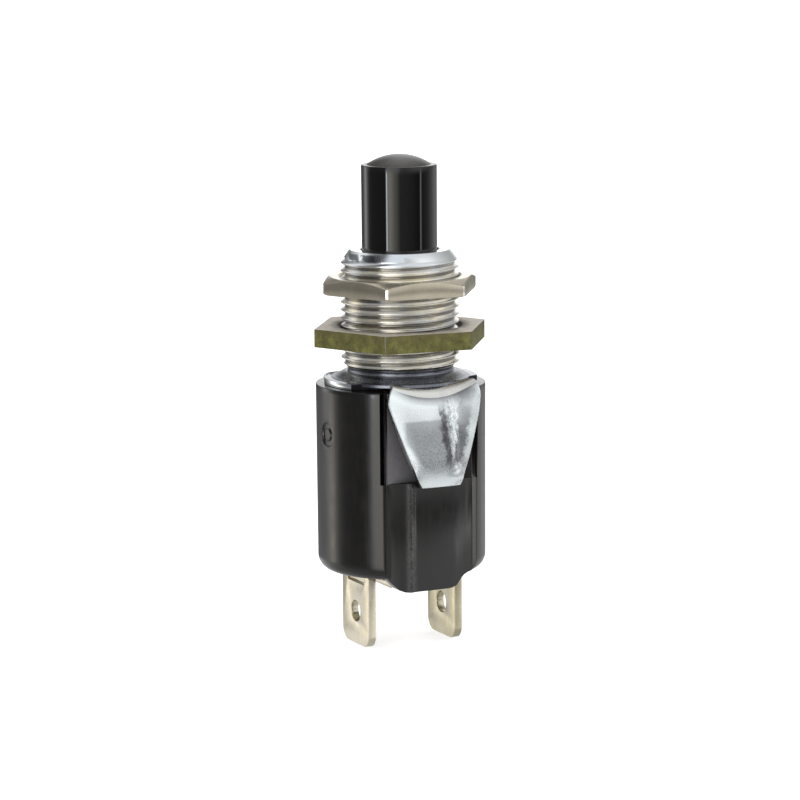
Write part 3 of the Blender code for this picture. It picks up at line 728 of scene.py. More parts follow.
def build_bushing():
    rings = [circle(r, z, BUSH_SEGMENTS) for r, z in NECK]
    turns = [2 * math.pi * i / BUSH_SEGMENTS for i in range(BUSH_SEGMENTS)]
    for k in range(THREAD_STEPS + 1):
        z = THREAD_LO + (THREAD_END - THREAD_LO) * k / THREAD_STEPS
        radii = [bushing_radius(t, z) for t in turns]
        rings.append([(r * math.cos(t), r * math.sin(t), z) for r, t in zip(radii, turns)])
    # (r, z) over the chamfer and top, down the stepped bore and back to the neck
    inner = rounded([(5.58, 39.12), (5.02, BUSH_TOP), (4.02, BUSH_TOP), (3.93, BUSH_TOP - 0.10),
                     (3.93, 37.05)], [0.07, 0.10, 0.05], 4)
    inner += [(4.75, 37.05), (4.75, 26.48), (5.15, 26.48), (5.15, 27.60), (NECK_R, 27.60)]
    rings += [circle(r, z, BUSH_SEGMENTS) for r, z in inner]
    bushing = ring_surface("bushing_threaded", rings, angle=50)
    dress(bushing, NICKEL, "nickel_plate", "housing", "threaded_bushing")
    # painted shade: the neck below the thread takes the dark collar material
    paint(bushing, COLLAR_SHADE, lambda centre, normal: centre.z < 28.14)


build_bushing()

# --------------------------------------------------------------------- nuts
NUT_BORE = 5.99
SIDE_STEPS = 40
LAND_STEPS = (-0.9, -0.45, 0, 0.45, 0.9, 1.02, 1.14, 1.3, 1.6)      # shares of a land's half angle


def hex_outline(flats, turn, land):
    """(angle, radius) around a hexagon whose upright corners are turned off to narrow lands."""
    corner = flats / 2 / math.cos(math.pi / 6) - land / (2 * math.tan(math.pi / 3))
    edge = 30 - math.degrees(math.acos(flats / 2 / corner))
    steps = [edge * f for f in LAND_STEPS]
    steps += [edge * 1.6 + (60 - 3.2 * edge) * i / SIDE_STEPS for i in range(1, SIDE_STEPS + 1)]
    steps += [60 - edge * f for f in (1.3, 1.14, 1.02)]
    out = []
    for k in range(6):
        for step in steps:
            off = (step + 30) % 60 - 30
            r = flats / 2 / math.cos(math.radians(30 - abs(off)))
            out.append((math.radians(turn + 60 * k + step), smooth_min(r, corner, 0.008)))
    return out


def build_nut(name, flats, z0, z1, turn, sink, edge, land, top_slope=0.0, top_r=20.0,
              low_slope=0.5, low_r=99.0):
    """Hex nut, flats across, turned by turn degrees. sink: countersink of the bore; edge:
    rounding. The top is chamfered at top_slope beyond top_r, the underside likewise."""
    mouth = NUT_BORE + sink

    def top_z(r):
        return z1 - max(0.0, r - top_r) * top_slope

    def low_z(r):
        return z0 + max(0.0, r - low_r) * low_slope

    def section(r):
        """(radius, z) below the outline radius r: up the bore, over the top and back."""
        flat = min(top_r, r - edge)
        slope = [flat + (r - edge - flat) * f for f in (0.25, 0.5, 0.75, 1.0)]
        shoulder = r - edge * 0.3
        low = min(r - edge - 0.05, low_r)
        return [(NUT_BORE, z0 + sink), (NUT_BORE, (z0 + z1) / 2), (NUT_BORE, z1 - sink),
                (NUT_BORE + sink * 0.92, z1 - 0.02), (mouth + 0.03, z1),
                (flat * 0.5 + mouth * 0.5, z1), (flat - 0.02, z1),
                *[(q, top_z(q)) for q in slope],
                (shoulder, top_z(shoulder) - edge * 0.3), (r, top_z(r) - edge),
                (r, (z0 + top_z(r)) / 2),
                (r, low_z(r) + edge), (shoulder, low_z(shoulder) + edge * 0.3),
                (r - edge, low_z(r - edge)), (low, low_z(low)),
                ((low + mouth) / 2, z0), (mouth + 0.02, z0)]

    columns = [[(q * math.cos(a), q * math.sin(a), z) for q, z in section(r)]
               for a, r in hex_outline(flats, turn, land)]
    return ring_surface(name, list(zip(*columns)), angle=24)


def highlight_corners(ob, material, turn):
    """Painted highlight: a brighter material on the narrow lands at a nut's upright corners."""
    def on_land(centre, normal):
        at, facing = ((math.degrees(math.atan2(v.y, v.x)) - turn + 30) % 60 - 30
                      for v in (centre, normal))
        return abs(normal.z) <= 0.35 and abs(at) < 3 and abs(facing) < 14
    paint(ob, material, on_land)


FACE_TURN, BACK_TURN = 55.9, 55.6
face_nut = build_nut("face_nut_hex", flats=14.29, z0=FACE_LO, z1=FACE_HI, turn=FACE_TURN,
                     sink=0.22, edge=0.06, land=0.27, top_slope=math.tan(math.radians(27)),
                     top_r=7.08, low_slope=0.45, low_r=7.90)
dress(face_nut, NUT, "nickel_satin", "front_nut", "face_nut")
back_nut = build_nut("backing_nut_hex", flats=15.875, z0=BACK_LO, z1=BACK_HI, turn=BACK_TURN,
                     sink=0.36, edge=0.05, land=0.10)
dress(back_nut, OLIVE, "olive_chromate", "rear_nut", "backing_nut")
# painted highlights on the nuts' corner lands
highlight_corners(face_nut, NUT_CORNER_HIGHLIGHT, FACE_TURN)
highlight_corners(back_nut, OLIVE_CORNER_HIGHLIGHT, BACK_TURN)

# --------------------------------------------------------------- the frame
PLATE_TOP, PLATE_THICK = 27.05, 0.57
STRIP_THICK = 0.50
FRAME_BORE = 5.20
LOBE_R, LOBE_HALF_WIDTH = 7.70, 3.30
NOTCH_X, NOTCH_Y = 3.7, 4.55
ROW_STEPS, CROSS_STEPS = 7, 84
FRONT_LIFT, REAR_LIFT = 1.0, -0.75


def ear_rows(k):
    """Rows of the strip's outer surface from its middle out to the ear's tip; k is how far
    the ear's upper corners stand above the plate. Columns: left x, right x; distance from the
    axis at centre, left, right; z at centre, left, right; strength of the fold."""
    return [
        (-4.30, 4.30, 0.0, 0.0, 0.0, 27.05, 27.03, 27.03, 0.0),
        (-4.30, 4.30, 2.0, 2.0, 2.0, 27.05, 27.03, 27.03, 0.0),
        (-4.22, 4.22, 3.6, 3.4, 3.4, 27.05, 27.03, 27.03, 0.0),
        (-3.92, 3.92, 4.9, 4.5, 4.5, 27.06, 27.05, 27.05, 0.0),
        (-3.84, 3.92, 5.75, 5.3, 5.3, 27.04, 27.07 + 0.03 * k, 27.07 + 0.07 * k, 0.0),
        (-3.86, 4.10, 6.35, 5.95, 6.05, 26.92, 27.09 + 0.09 * k, 27.09 + 0.18 * k, 0.0),
        (-3.92, 4.36, 6.80, 6.46, 6.62, 26.69, 27.07 + 0.15 * k, 27.08 + 0.28 * k, 0.0),
        (-4.02, 4.66, 7.14, 6.84, 7.04, 26.34, 27.00 + 0.14 * k, 27.02 + 0.34 * k, 0.1),
        (-4.20, 4.92, 7.34, 7.04, 7.26, 25.92, 26.74 + 0.10 * k, 26.86 + 0.26 * k, 0.4),
        (-4.44, 5.10, 7.46, 7.14, 7.36, 25.50, 26.40, 26.50 + 0.10 * k, 0.8),
        (-4.66, 5.20, 7.56, 7.24, 7.44, 25.05, 25.98, 26.02, 1.0),
        (-4.72, 5.17, 7.66, 7.34, 7.50, 24.50, 25.40, 25.40, 1.0),
        (-4.42, 4.95, 7.80, 7.50, 7.62, 23.50, 24.20, 24.10, 1.0),
        (-3.92, 4.52, 7.92, 7.68, 7.76, 22.30, 22.75, 22.50, 1.0),
        (-3.10, 3.86, 8.04, 7.92, 7.95, 20.35, 20.55, 20.30, 1.0),
        (-2.40, 3.30, 8.12, 8.06, 8.06, 18.75, 18.85, 18.65, 1.0),
        (-2.08, 3.08, 8.18, 8.14, 8.12, 18.00, 18.05, 17.98, 0.9),
        (-1.82, 2.98, 8.27, 8.22, 8.18, 17.42, 17.45, 17.60, 0.7),
        (-1.58, 2.60, 8.38, 8.32, 8.24, EAR_LO, EAR_LO, EAR_LO + 0.03, 0.5),
    ]


def catmull(rows, steps):
    """Smooth samples through rows of numbers, the given steps per interval."""
    rows = [np.array(row, float) for row in rows]
    out = []
    for k in range(len(rows) - 1):
        p1, p2 = rows[k], rows[k + 1]
        p0 = rows[k - 1] if k > 0 else p1 - (p2 - p1)
        p3 = rows[k + 2] if k + 2 < len(rows) else p2 + (p2 - p1)
        m1 = (p2 - p0) * 0.5
        m2 = (p3 - p1) * 0.5
        for i in range(steps):
            t = i / steps
            out.append((2 * t ** 3 - 3 * t ** 2 + 1) * p1 + (t ** 3 - 2 * t ** 2 + t) * m1
                       + (-2 * t ** 3 + 3 * t ** 2) * p2 + (t ** 3 - t ** 2) * m2)
    out.append(rows[-1])
    return out


def fold_x(z):
    return (1.66 + 0.135 * (24.5 - z) * 0.6 + 0.05 * math.sin(2.3 * z + 1.0)
            + 0.03 * math.sin(5.9 * z))


def ear_relief(u, x, z, fold):
    """How far the ear stands out from its smooth surface; u runs from -1 left to 1 right."""
    out = 0.0
    # the margins stand proud of the dished middle
    above_tip = smooth_step(z, 17.6, 19.5)
    if u < -0.62:
        out += fold * 0.19 * ((-0.62 - u) / 0.38) ** 2 * above_tip
    if u > 0.55:
        out += fold * 0.15 * ((u - 0.55) / 0.45) ** 2 * above_tip
    # crumpled fold right of the middle: long slope on its left, short slope on its right
    off = x - fold_x(z)
    amount = fold * smooth_step(z, 17.6, 18.9) * (1 - smooth_step(z, 24.3, 26.3))
    if off < 0:
        width = 0.62 + 0.30 * smooth_step(z, 19.0, 25.0)
    else:
        width = 0.46 + 0.16 * smooth_step(z, 21.0, 25.0)
    out += amount * bell(off, width) * (0.095 + 0.045 * smooth_step(z, 20.0, 25.0))
    out += amount * bell(off - 0.05, 0.55) * (0.016 * math.sin(5.7 * z + 2.2 * x)
                                              + 0.012 * math.sin(9.1 * z - 4.6 * x + 1.7)
                                              + 0.010 * math.sin(6.5 * x + 3.1 * z))
    # slow dents over the upper part of the right-hand facet
    out += (fold * 0.030 * bell(x - 3.4, 1.0) * math.sin(1.7 * z + 0.8 * x)
            * smooth_step(z, 20.5, 23.5))
    return out


def strip_half(lift):
    """Rows of points from the strip's middle to the tip of the front ear."""
    rows = []
    for xl, xr, dc, dl, dr, zc, zl, zr, fold in catmull(ear_rows(lift), ROW_STEPS):
        row = []
        for i in range(CROSS_STEPS + 1):
            u = -1 + 2 * i / CROSS_STEPS
            x = (xl + xr) / 2 + u * (xr - xl) / 2
            d_edge, z_edge = (dl, zl) if u < 0 else (dr, zr)
            d = dc + (d_edge - dc) * u * u
            z = zc + (z_edge - zc) * u * u
            if fold > 0:
                d += ear_relief(u, x, z, fold)
            # groove where the bend over the body's rim runs out into the ear
            groove_z = 25.62 + 1.15 * ((x - 0.3) / 4.6) ** 2
            if z < 27.0 and d > 6.8:
                d -= 0.050 * bell(z - groove_z, 0.24)
            row.append((x, -d, z))
        rows.append(row)
    return rows


def build_strip():
    """The strip across the body with an ear bent down at each end, one sheet."""
    rear = [[(-x, -y, z) for x, y, z in row] for row in strip_half(REAR_LIFT)]
    grid = [row[::-1] for row in rear[::-1]][:-1] + strip_half(FRONT_LIFT)
    bm = bmesh.new()
    rows = vert_rows(bm, grid)
    for a, b in zip(rows, rows[1:]):
        for i in range(CROSS_STEPS):
            bm.faces.new((a[i], b[i], b[i + 1], a[i + 1]))
    bmesh.ops.recalc_face_normals(bm, faces=bm.faces)
    # the outer side is the one that faces up at the middle of the strip
    middle = min(bm.faces, key=lambda f: f.calc_center_median().xy.length)
    if middle.normal.z < 0:
        bmesh.ops.reverse_faces(bm, faces=bm.faces)
    ob = new_object("frame_strip_and_ears", bm, 40)
    sheet = ob.modifiers.new("sheet", "SOLIDIFY")
    sheet.thickness = STRIP_THICK * M
    sheet.offset = -1.0
    sheet.use_even_offset = True
    add_bevel(ob, width=0.05, segments=2, limit=50)
    return apply_modifiers(ob, 45)


def build_lobes():
    """The two flat lobes beside the strip, round outside, with notches at the ears' roots."""
    outline = []
    spread = math.asin(LOBE_HALF_WIDTH / LOBE_R)
    for sx, base in ((1, 0.0), (-1, math.pi)):
        turns = [base - spread + 2 * spread * i / 40 for i in range(41)]
        outline.append((sx * NOTCH_X, -sx * NOTCH_Y))
        outline += [(LOBE_R * math.cos(t), LOBE_R * math.sin(t)) for t in turns]
        outline.append((sx * NOTCH_X, sx * NOTCH_Y))

    def rounding(x, y):
        """Full on the round rims, slight elsewhere."""
        return 1.0 if math.hypot(x, y) > 7.6 and abs(y) < 3.2 else 0.18

    return plate("frame_plate", outline, PLATE_THICK, "Z", PLATE_TOP - PLATE_THICK / 2,
                 bevel=0.17, segments=4, weight=rounding)


def build_collar():
    """Collar drawn up around the bushing's base."""
    profile = rounded([(5.22, 26.80), (5.22, 27.62), (5.52, 27.72), (5.80, 27.60), (6.25, 27.34),
                       (6.60, 27.17), (6.98, 27.065), (7.02, 26.80)],
                      [0.04, 0.08, 0.2, 0.3, 0.3, 0.03], 4)
    return lathe("frame_collar", profile[::-1], 160, closed=True)


strip = build_strip()
lobes = build_lobes()
for ob in (lobes, strip):
    bore = [(0.0, 29.0), (FRAME_BORE, 29.0), (FRAME_BORE, 25.0), (0.0, 25.0)]
    boolean(ob, lathe("cut", bore, 128), "DIFFERENCE")
collar = build_collar()
bpy.context.view_layer.update()
dress(strip, EAR, "bright_zinc", "housing", "mounting_frame")
dress(lobes, ZINC, "bright_zinc", "housing")
# painted shade: the collar under the backing nut is dark
dress(collar, COLLAR_SHADE, "bright_zinc", "housing")
# the notches' upright faces take the sheared-edge material: sheared grain in its bump, painted
# shade in its near-black colour
paint(lobes, SHEARED_AND_SHADED,
      lambda centre, normal: abs(normal.z) < 0.5 and 5.6 < centre.xy.length < 7.55)

# ------------------------------------------------------------ body housing
SHELL_LO = 7.50
R_TOP, R_LOW = 8.54, 8.47
FOOT_FILLET, TOP_FILLET = 1.45, 0.08
# distances from the axis of the front and rear flats, channel floors and groove floors
FLAT, CHANNEL, GROOVE = 6.80, 6.47, 6.05
CHANNEL_HALF = 4.78
LEDGE = 17.28               # top of the bosses; the ears' channels are open above it
MARK_TURN, MARK_Z, MARK_R = math.radians(184.8), 21.75, 1.25


def mark_depth(t, z):
    """A plain moulded ring mark on the left: shallow dish with a level island."""
    off = (t - MARK_TURN + math.pi) % (2 * math.pi) - math.pi
    q = math.hypot(off * 8.53, z - MARK_Z) / MARK_R
    if q > 1.05:
        return 0.0
    rim = 1.0 - smooth_step(q, 0.88, 1.03)
    island = 1.0 - smooth_step(q, 0.42, 0.56)
    return 0.20 * rim - 0.13 * island


def fillet_inset(radius, into):
    """Inset of a quarter-round edge at a height into it."""
    if into <= 0:
        return 0.0
    return radius * (1 - math.sqrt(max(0.0, 1 - (into / radius) ** 2)))


def sunk(r, floor, share):
    """Radius r moved by share towards a lower floor."""
    return r + (min(r, floor) - r) * share


def body_radius(t, z):
    """Outer radius of the moulded body at angle t, height z."""
    rise = (z - SHELL_LO) / (BODY_TOP - SHELL_LO)
    r = R_LOW + (R_TOP - R_LOW) * rise
    r -= fillet_inset(FOOT_FILLET, SHELL_LO + FOOT_FILLET - z)
    r -= fillet_inset(TOP_FILLET, z - (BODY_TOP - TOP_FILLET))
    cos_t, sin_t = math.cos(t), abs(math.sin(t))
    if sin_t > 0.3:
        draft = 0.03 * (BODY_TOP - z) / (BODY_TOP - SHELL_LO)
        r = smooth_min(r, (FLAT - draft) / sin_t, 0.10)
        # channel, running down under the boss, its floor dished above the ledge
        if z > SHELL_LO + 0.02:
            x = abs(CHANNEL * cos_t / sin_t)
            dish = 0.42 * max(0.0, 1 - (x / 4.7) ** 2) * smooth_step(z, LEDGE - 0.4, LEDGE)
            share = 1.0 - smooth_step(x, CHANNEL_HALF - 0.05, CHANNEL_HALF + 0.05)
            r = sunk(r, (CHANNEL - draft - dish) / sin_t, share)
        # narrow groove along each side of the channel
        if z > LEDGE + 0.02:
            x = abs(GROOVE * cos_t / sin_t)
            share = smooth_step(x, 4.50, 4.58) * (1.0 - smooth_step(x, 4.86, 4.94))
            share *= smooth_step(z, LEDGE + 0.02, LEDGE + 0.10)
            r = sunk(r, GROOVE / sin_t, share)
    return r - mark_depth(t, z)


def body_angles():
    """Angles around the body, dense where the flats, channels, grooves and mark start."""
    # (distance from the axis, x stations)
    stations = ((6.1, [*np.linspace(-4.4, 4.4, 12), *np.linspace(4.42, 5.02, 22),
                       *-np.linspace(4.42, 5.02, 22)]),
                (6.75, [*np.linspace(4.6, 5.5, 26), *-np.linspace(4.6, 5.5, 26)]))
    angles = [math.atan2(d, x) for d, xs in stations for x in xs]
    angles += [-a for a in angles]
    angles += [MARK_TURN + math.radians(-9.5 + 19 * i / 46) for i in range(47)]
    angles += [2 * math.pi * i / 150 for i in range(150)]
    angles = sorted(a % (2 * math.pi) for a in angles)
    out = [angles[0]]
    for a in angles[1:]:
        if a - out[-1] > 0.0022:
            out.append(a)
    return out


def body_levels():
    """Heights of the body's rings, dense at the fillets, the ledge and the mark."""
    fillet_end = SHELL_LO + FOOT_FILLET
    return [*np.linspace(SHELL_LO, fillet_end, 16),
            *np.linspace(fillet_end + 0.5, LEDGE - 0.3, 14),
            *[LEDGE + dz for dz in (-0.05, 0.01, 0.05, 0.08, 0.12, 0.3)],
            *np.linspace(LEDGE + 0.8, 20.3, 5),
            *np.linspace(20.45, 23.05, 40),
            *np.linspace(23.3, BODY_TOP - 0.5, 6),
            *(BODY_TOP - TOP_FILLET + TOP_FILLET * np.sin(np.linspace(0, math.pi / 2, 6)))]


TERMINAL_X = 4.8
CAVITY_FLOOR = 10.0


def build_shell():
    """Hollow body, closed at the foot, with a slot for each terminal."""
    angles = body_angles()
    count = len(angles)

    def ring(radius, z):
        return [(radius(t) * math.cos(t), radius(t) * math.sin(t), z) for t in angles]

    rings = [ring(lambda t, z=z: body_radius(t, z), z) for z in body_levels()]
    # rim, counterbore and cavity, downwards
    for r, z in ((6.05, BODY_TOP), (6.0, BODY_TOP - 0.05), (6.0, 25.98), (5.6, 25.98),
                 (5.6, CAVITY_FLOOR)):
        rings.append(ring(lambda t, r=r: r, z))
    bm = bmesh.new()
    rows = vert_rows(bm, rings)
    for a, b in zip(rows, rows[1:]):
        for i in range(count):
            j = (i + 1) % count
            bm.faces.new((a[i], a[j], b[j], b[i]))
    foot = bm.verts.new((0, 0, SHELL_LO * M))
    floor_centre = bm.verts.new((0, 0, CAVITY_FLOOR * M))
    for i in range(count):
        j = (i + 1) % count
        bm.faces.new((foot, rows[0][j], rows[0][i]))
        bm.faces.new((floor_centre, rows[-1][i], rows[-1][j]))
    bmesh.ops.recalc_face_normals(bm, faces=bm.faces)
    body = new_object("body_shell", bm, 30)
    for sx in (-1, 1):
        slot = box("slot", centre=(sx * TERMINAL_X, 0.0, 9.0), size=(0.93, 3.92, 6.0))
        boolean(body, slot, "DIFFERENCE")
    body.data.set_sharp_from_angle(angle=math.radians(30))
    dress(body, BODY, "black_satin", "housing", "body_housing")

    def on_channel_floor(centre, normal):
        """The left half of each channel's floor, seen from outside, which takes painted light."""
        return (LEDGE + 0.02 < centre.z < BODY_TOP - 0.15 and abs(centre.x) < 4.52
                and 5.9 < abs(centre.y) < 6.62 and centre.x * centre.y > 0
                and abs(normal.y) > 0.8)

    # painted light on the channel floors
    paint(body, RECESS_PAINTED_LIGHT, on_channel_floor)


BOSS_HALF = 4.70
# (x, z) down the boss's left side and up its right, seen from outside
BOSS_SIDES = [
    (-4.95, LEDGE + 1.0), (-4.95, SHELL_LO + 0.9), (-4.62, SHELL_LO + 0.45),
    (-4.35, SHELL_LO - 0.02), (-3.95, 7.02), (-3.40, 6.50), (-2.85, BODY_LO + 0.03),
    (-2.3, BODY_LO - 0.01), (1.9, BODY_LO - 0.03), (2.45, BODY_LO + 0.06), (2.88, 6.47),
    (3.15, 6.80), (3.42, 7.14), (3.75, 7.45), (4.20, 7.68), (4.95, 7.84), (4.95, LEDGE + 1.0)]


def boss_face(x):
    """Distance of the boss's face from the axis at x seen from outside: a rounded ridge left
    of centre, then a wide, faintly convex face."""
    if x > -2.25:
        d = 6.98 - 0.0105 * max(0.0, x + 1.6) ** 2
    else:
        q = -2.25 - x
        d = 6.98 - 0.165 * q - 0.058 * q * q
    return d + 0.135 * bell(x + 2.24, 0.34)


def build_boss(name, sy):
    """Boss with a foot in the lower part of the channel at -Y or +Y."""
    face = [(x, boss_face(-sy * x)) for x in np.linspace(-BOSS_HALF, BOSS_HALF, 115)]
    plan = [(x, sy * d) for x, d in [(-BOSS_HALF, 5.0), *face, (BOSS_HALF, 5.0)]][::-sy]
    boss = plate(name, plan, LEDGE - BODY_LO, "Z", (LEDGE + BODY_LO) / 2)
    trim = plate("trim", mirrored(BOSS_SIDES, -sy), 8.0, "Y", sy * 7.0)
    boolean(boss, trim, "INTERSECT")
    add_bevel(boss, width=0.14, segments=3, limit=38)
    apply_modifiers(boss, 32)
    dress(boss, BODY, "black_satin", "housing")


build_shell()
build_boss("body_boss_front", -1)
build_boss("body_boss_rear", 1)

# -------------------------------------------------------------- terminals
BLADE_HALF, BLADE_THICK = 3.175, 0.81
TIP_R, TIP_STRETCH = 1.30, 1.05     # corner radius at the tip, and its stretch along Z
SHOULDER_Z, SHANK_HALF, SHANK_TOP = 7.44, 1.9, 10.86
# (x, z) of the right terminal's pieces
TANG = [(4.85, 7.42), (4.30, 7.42), (2.05, 6.42), (1.62, 5.86), (2.02, 5.66), (4.30, 6.80),
        (4.85, 6.92)]
FOOT = [(2.2, 10.05), (5.19, 10.05), (5.19, SHANK_TOP), (2.2, SHANK_TOP)]


def blade_outline():
    """(y, z) of a blade: rounded tip corners, shoulders under the body, narrower shank."""
    hw, r = BLADE_HALF, TIP_R
    tall = r * TIP_STRETCH
    out = [(-hw + tall, 0.0), (hw - tall, 0.0)]
    for i in range(1, 9):
        t = math.radians(-90 + 90 * i / 8)
        out.append((hw - r + r * math.cos(t), tall + tall * math.sin(t)))
    out += [(hw, SHOULDER_Z - 0.3), (hw - 0.22, SHOULDER_Z), (SHANK_HALF, SHOULDER_Z),
            (SHANK_HALF, SHANK_TOP), (-SHANK_HALF, SHANK_TOP), (-SHANK_HALF, SHOULDER_Z),
            (-hw + 0.22, SHOULDER_Z), (-hw, SHOULDER_Z - 0.3)]
    for i in range(8):
        t = math.radians(180 + 90 * i / 8)
        out.append((-hw + r + r * math.cos(t), tall + tall * math.sin(t)))
    return out


def build_terminal(side, sx, material):
    blade = plate("blade_" + side, blade_outline(), BLADE_THICK, "X", sx * TERMINAL_X,
                  holes=((0.0, 3.35, 1.09),))
    # window left by the tang
    window = box("window", centre=(sx * TERMINAL_X, 0.0, 6.47), size=(3, 3.9, 0.30))
    boolean(blade, window, "DIFFERENCE")
    add_bevel(blade, width=0.075, segments=3, limit=35)
    apply_modifiers(blade, 40)
    dress(blade, material, "tinned_brass", "housing", "terminal_" + side)
    # tang bent inwards under the body, and the inner foot
    tang = plate("tang_" + side, mirrored(TANG, sx), 3.5, "Y", 0.0, bevel=0.05, segments=2)
    dress(tang, TIN, "tinned_brass", "housing")
    foot = plate("foot_" + side, mirrored(FOOT, sx), 3.78, "Y", 0.0, bevel=0.06, segments=2)
    dress(foot, TIN, "tinned_brass", "housing")


build_terminal("left", -1, TIN)
# painted shade: the right blade takes the darker tinned brass
build_terminal("right", 1, TIN_SHADED)

# ---------------------------------------------------------------- springs
SPRING_TURNS, WIRE_SIDES = 6, 12


def build_spring(name, r, wire, z0, z1, per_turn):
    """Compression spring of round wire (radius wire) with a closed turn at each end."""
    low, high = z0 + 0.01 + wire, z1 - 0.01 - wire
    end = 2.15 * wire
    rise = (high - low - 2 * end) / (SPRING_TURNS - 2)
    rings = []
    for i in range(SPRING_TURNS * per_turn + 1):
        t = i / per_turn
        if t <= 1.0:
            z, dz = low + end * t, end
        elif t >= SPRING_TURNS - 1.0:
            z, dz = high - end * (SPRING_TURNS - t), end
        else:
            z, dz = low + end + rise * (t - 1.0), rise
        a = 2 * math.pi * t
        out = Vector((math.cos(a), math.sin(a), 0.0))
        along = Vector((-math.sin(a) * r * 2 * math.pi, math.cos(a) * r * 2 * math.pi, dz))
        up = along.normalized().cross(out)
        centre = Vector((r * math.cos(a), r * math.sin(a), z))
        turns = [2 * math.pi * k / WIRE_SIDES for k in range(WIRE_SIDES)]
        rings.append([tuple(centre + wire * (math.cos(b) * out + math.sin(b) * up))
                      for b in turns])
    return ring_surface(name, rings, closed=False, cap=True, angle=50)


return_coil = build_spring("return_spring_coil", r=4.24, wire=0.245, z0=RETURN_LO, z1=RETURN_HI,
                           per_turn=40)
dress(return_coil, SPRING, "spring_steel", "housing", "return_spring")
contact_coil = build_spring("contact_spring_coil", r=1.54, wire=0.155, z0=CONTACT_LO,
                            z1=CONTACT_HI, per_turn=32)
dress(contact_coil, SPRING, "spring_steel", "plunger", "contact_spring")
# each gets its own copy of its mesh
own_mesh(return_coil)
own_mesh(contact_coil)

# frame nodes that stay as they are, all inside the body and bushing
for name, material in (
        ("plunger_stem", NYLON), ("bridge_clip", SPRING), ("contact_bridge", COPPER),
        ("moving_contact_left", SILVER), ("moving_contact_right", SILVER),
        ("contact_rivet_left", SILVER), ("contact_rivet_right", SILVER),
        ("insulating_disc", FIBRE), ("spring_seat_washer", ZINC)):
    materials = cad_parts[name].data.materials
    materials.clear()
    materials.append(material)


# ------------------------------------------------------------------ floor
def build_floor():
    material = bpy.data.materials.new("floor_pale")
    material.use_nodes = True
    inputs = material.node_tree.nodes["Principled BSDF"].inputs
    for key, value in {"Base Color": (0.90, 0.90, 0.90, 1), "Roughness": 0.85,
                       "Specular IOR Level": 0.1, "Emission Color": (1, 1, 1, 1),
                       "Emission Strength": 0.65}.items():
        inputs[key].default_value = value
    bpy.ops.mesh.primitive_plane_add(size=6.0, location=(0, 0, -0.0002))
    floor = bpy.context.object
    floor.name = "floor"
    floor.data.materials.append(material)
    floor.visible_glossy = False


build_floor()

# ------------------------------------------------------------------ world
CAMERA_TURN = math.radians(25.13)        # from the front towards -X
CAMERA_RISE = math.radians(9.17)
CAMERA_SIDE = math.atan2(-math.cos(CAMERA_TURN), -math.sin(CAMERA_TURN))
FULL_LIGHT = 16.0                       # radiance of colour 1


def warm(v):
    return (v * 1.04, v, v * 0.86)


def cool(v):
    return (v * 0.97, v, v * 1.06)


# Light around the object, from the lowest belt up. Each belt takes over from the one below it
# between two elevations (degrees); its stops are (azimuth in degrees, radiance), with 0 at the
# camera and positive to its right. The belt overhead is even.
LIGHT_BELOW = 0.55
LIGHT_BELTS = (
    (-40, -22, [
        (-180, 0.7), (-150, 0.95), (-100, 0.9), (-90, 0.4), (-45, 0.4), (-34, 2.0), (-5, 1.5),
        (10, 0.8), (40, 0.9), (60, 1.1), (110, 0.9), (180, 0.7)]),
    (-14.2, -12.4, [
        (-180, 0.15), (-149, 0.30), (-127, 0.50), (-118, warm(1.2)), (-111, warm(2.9)),
        (-104, warm(2.3)), (-98, 1.0), (-92, 0.45), (-80, 0.20), (-55, 0.13), (-48, 0.30),
        (-42, 1.0), (-37, warm(2.1)), (-30, warm(3.0)), (-20, warm(2.6)), (-8, warm(1.6)),
        (0, 1.0), (8, 0.35), (20, 0.25), (40, 0.30), (50, 0.55), (58, 0.85), (64, 1.8),
        (70, 2.8), (78, 2.8), (84, 1.4), (92, 0.8), (110, 0.6), (144, 0.75), (160, 0.5),
        (180, 0.4)]),
    (-9.6, -8.2, [
        (-180, 0.08), (-156, 0.11), (-144, 0.24), (-135, 0.55), (-128, 1.45), (-122, 2.1),
        (-116, 1.3), (-110, 0.75), (-104, 0.30), (-94, cool(0.17)), (-46, cool(0.14)),
        (-40.6, 0.20), (-38.9, cool(11.5)), (-37.0, cool(11.5)), (-35.6, 1.7), (-33.5, 3.2),
        (-28, warm(3.2)), (-15.5, warm(1.75)), (-3, 0.85), (3, 0.32), (24, 0.27), (41, 0.20),
        (62, 0.08), (66.0, 0.10), (67.5, 2.0), (71.0, 2.0), (72.5, 0.12), (94, 0.25),
        (110, 0.52), (126, 0.72), (142, 0.64), (160, 0.20)]),
    (-3.2, 2.2, [
        (-180, 1.5), (-173, 1.0), (-165, 0.20), (-153, 0.20), (-146, 0.45), (-136, 0.60),
        (-124, 1.0), (-110, 1.2), (-100, 0.5), (-90, 0.25), (-44, 0.25), (-36, 2.4), (-4, 1.7),
        (6, 0.75), (18, 0.60), (32, 0.80), (44, 1.0), (60, 1.15), (88, 0.95), (104, 0.70),
        (140, 0.42), (158, 0.45), (168, 1.2), (180, 1.5)]),
    (42, 55, [
        (-180, 1.4), (-158, 1.2), (-146, 0.40), (-138, 0.32), (-115, 0.60), (-102, 0.45),
        (-94, 0.14), (-56, cool(0.09)), (-49, 0.45), (-38, cool(0.9)), (20, cool(0.85)),
        (88, 0.80), (104, 0.60), (142, 0.60), (156, 1.2), (180, 1.4)]),
    (72, 86, 0.7),
)


def light_colour(radiance):
    """Background colour for a radiance, grey or (r, g, b)."""
    rgb = radiance if isinstance(radiance, tuple) else (radiance,) * 3
    return tuple(c / FULL_LIGHT for c in rgb)


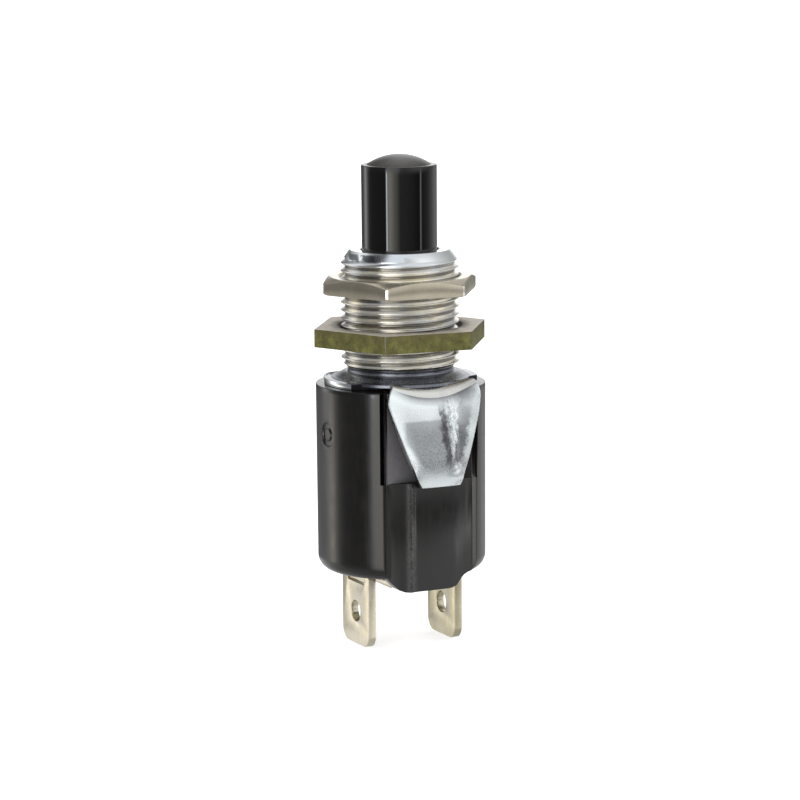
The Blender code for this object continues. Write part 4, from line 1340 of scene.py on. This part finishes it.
def build_world():
    """The belts light the object; the camera itself sees plain white."""
    world = bpy.data.worlds.new("studio")
    bpy.context.scene.world = world
    world.use_nodes = True
    world.node_tree.nodes.clear()
    g = Graph(world.node_tree)
    # turn the direction so that the camera's side is +X
    turned = g.value("VectorRotate", {"Vector": g.value("TexCoord", output="Generated"),
                                      "Angle": -CAMERA_SIDE}, rotation_type="Z_AXIS")
    x, y, z = g.split(turned, "XYZ")
    azimuth = g.calc("ARCTAN2", y, x).rise(-math.pi, math.pi)
    light = light_colour(LIGHT_BELOW)
    for low, high, belt in LIGHT_BELTS:
        if isinstance(belt, list):
            above = azimuth.ramp(*[((deg + 180) / 360, light_colour(v)) for deg, v in belt])
        else:
            above = light_colour(belt)
        span = (math.sin(math.radians(low)), math.sin(math.radians(high)))
        share = z.remap(span, (0.0, 1.0), interpolation_type="SMOOTHSTEP")
        light = g.mix(share, light, above)
    lit = g.value("Background", {"Color": light, "Strength": FULL_LIGHT})
    seen = g.value("Background", {"Color": (1, 1, 1), "Strength": 1.0})
    to_camera = g.value("LightPath", output="Is Camera Ray")
    g.node("OutputWorld", {"Surface": g.value("MixShader", {0: to_camera, 1: lit, 2: seen})})


def build_back_light():
    """Soft area light above and behind the object, kept out of reflections."""
    light = bpy.data.lights.new("back_soft", "AREA")
    light.shape = "RECTANGLE"
    light.size, light.size_y = 0.5, 0.4
    light.energy = 0.5
    ob = bpy.data.objects.new("back_soft", light)
    bpy.context.scene.collection.objects.link(ob)
    turn = CAMERA_SIDE + math.radians(165)
    rise = math.radians(50)
    away = Vector((math.cos(turn) * math.cos(rise), math.sin(turn) * math.cos(rise),
                   math.sin(rise)))
    ob.location = Vector((0, 0, 0.025)) + away * 0.8
    ob.rotation_euler = (-away).to_track_quat("-Z", "Y").to_euler()
    ob.visible_camera = False
    ob.visible_glossy = False


build_world()
build_back_light()

# ----------------------------------------------------------------- camera
CAMERA_TARGET = Vector((0, 0, 0.024))
CAMERA_DISTANCE = 0.3629
CAMERA_ROLL = math.radians(-0.45)


def build_camera():
    turn, rise, roll = CAMERA_TURN, CAMERA_RISE, CAMERA_ROLL
    back = Vector((-math.sin(turn) * math.cos(rise), -math.cos(turn) * math.cos(rise),
                   math.sin(rise)))
    level = Vector((math.cos(turn), -math.sin(turn), 0))
    upright = level.cross(-back)
    right = math.cos(roll) * level + math.sin(roll) * upright
    up = -math.sin(roll) * level + math.cos(roll) * upright
    data = bpy.data.cameras.new("camera")
    data.sensor_width = 36.0
    data.lens = 162.0
    data.shift_x = -0.000905
    data.shift_y = 0.0064325
    data.clip_start, data.clip_end = 0.01, 20.0
    camera = bpy.data.objects.new("camera", data)
    bpy.context.scene.collection.objects.link(camera)
    facing = Matrix((right, up, back)).transposed().to_4x4()
    camera.matrix_world = Matrix.Translation(CAMERA_TARGET + back * CAMERA_DISTANCE) @ facing
    bpy.context.scene.camera = camera


build_camera()
view = bpy.context.scene.view_settings
view.view_transform = "Standard"
view.look = "None"
view.exposure = 0.0
view.gamma = 1.0

bpy.context.view_layer.update()
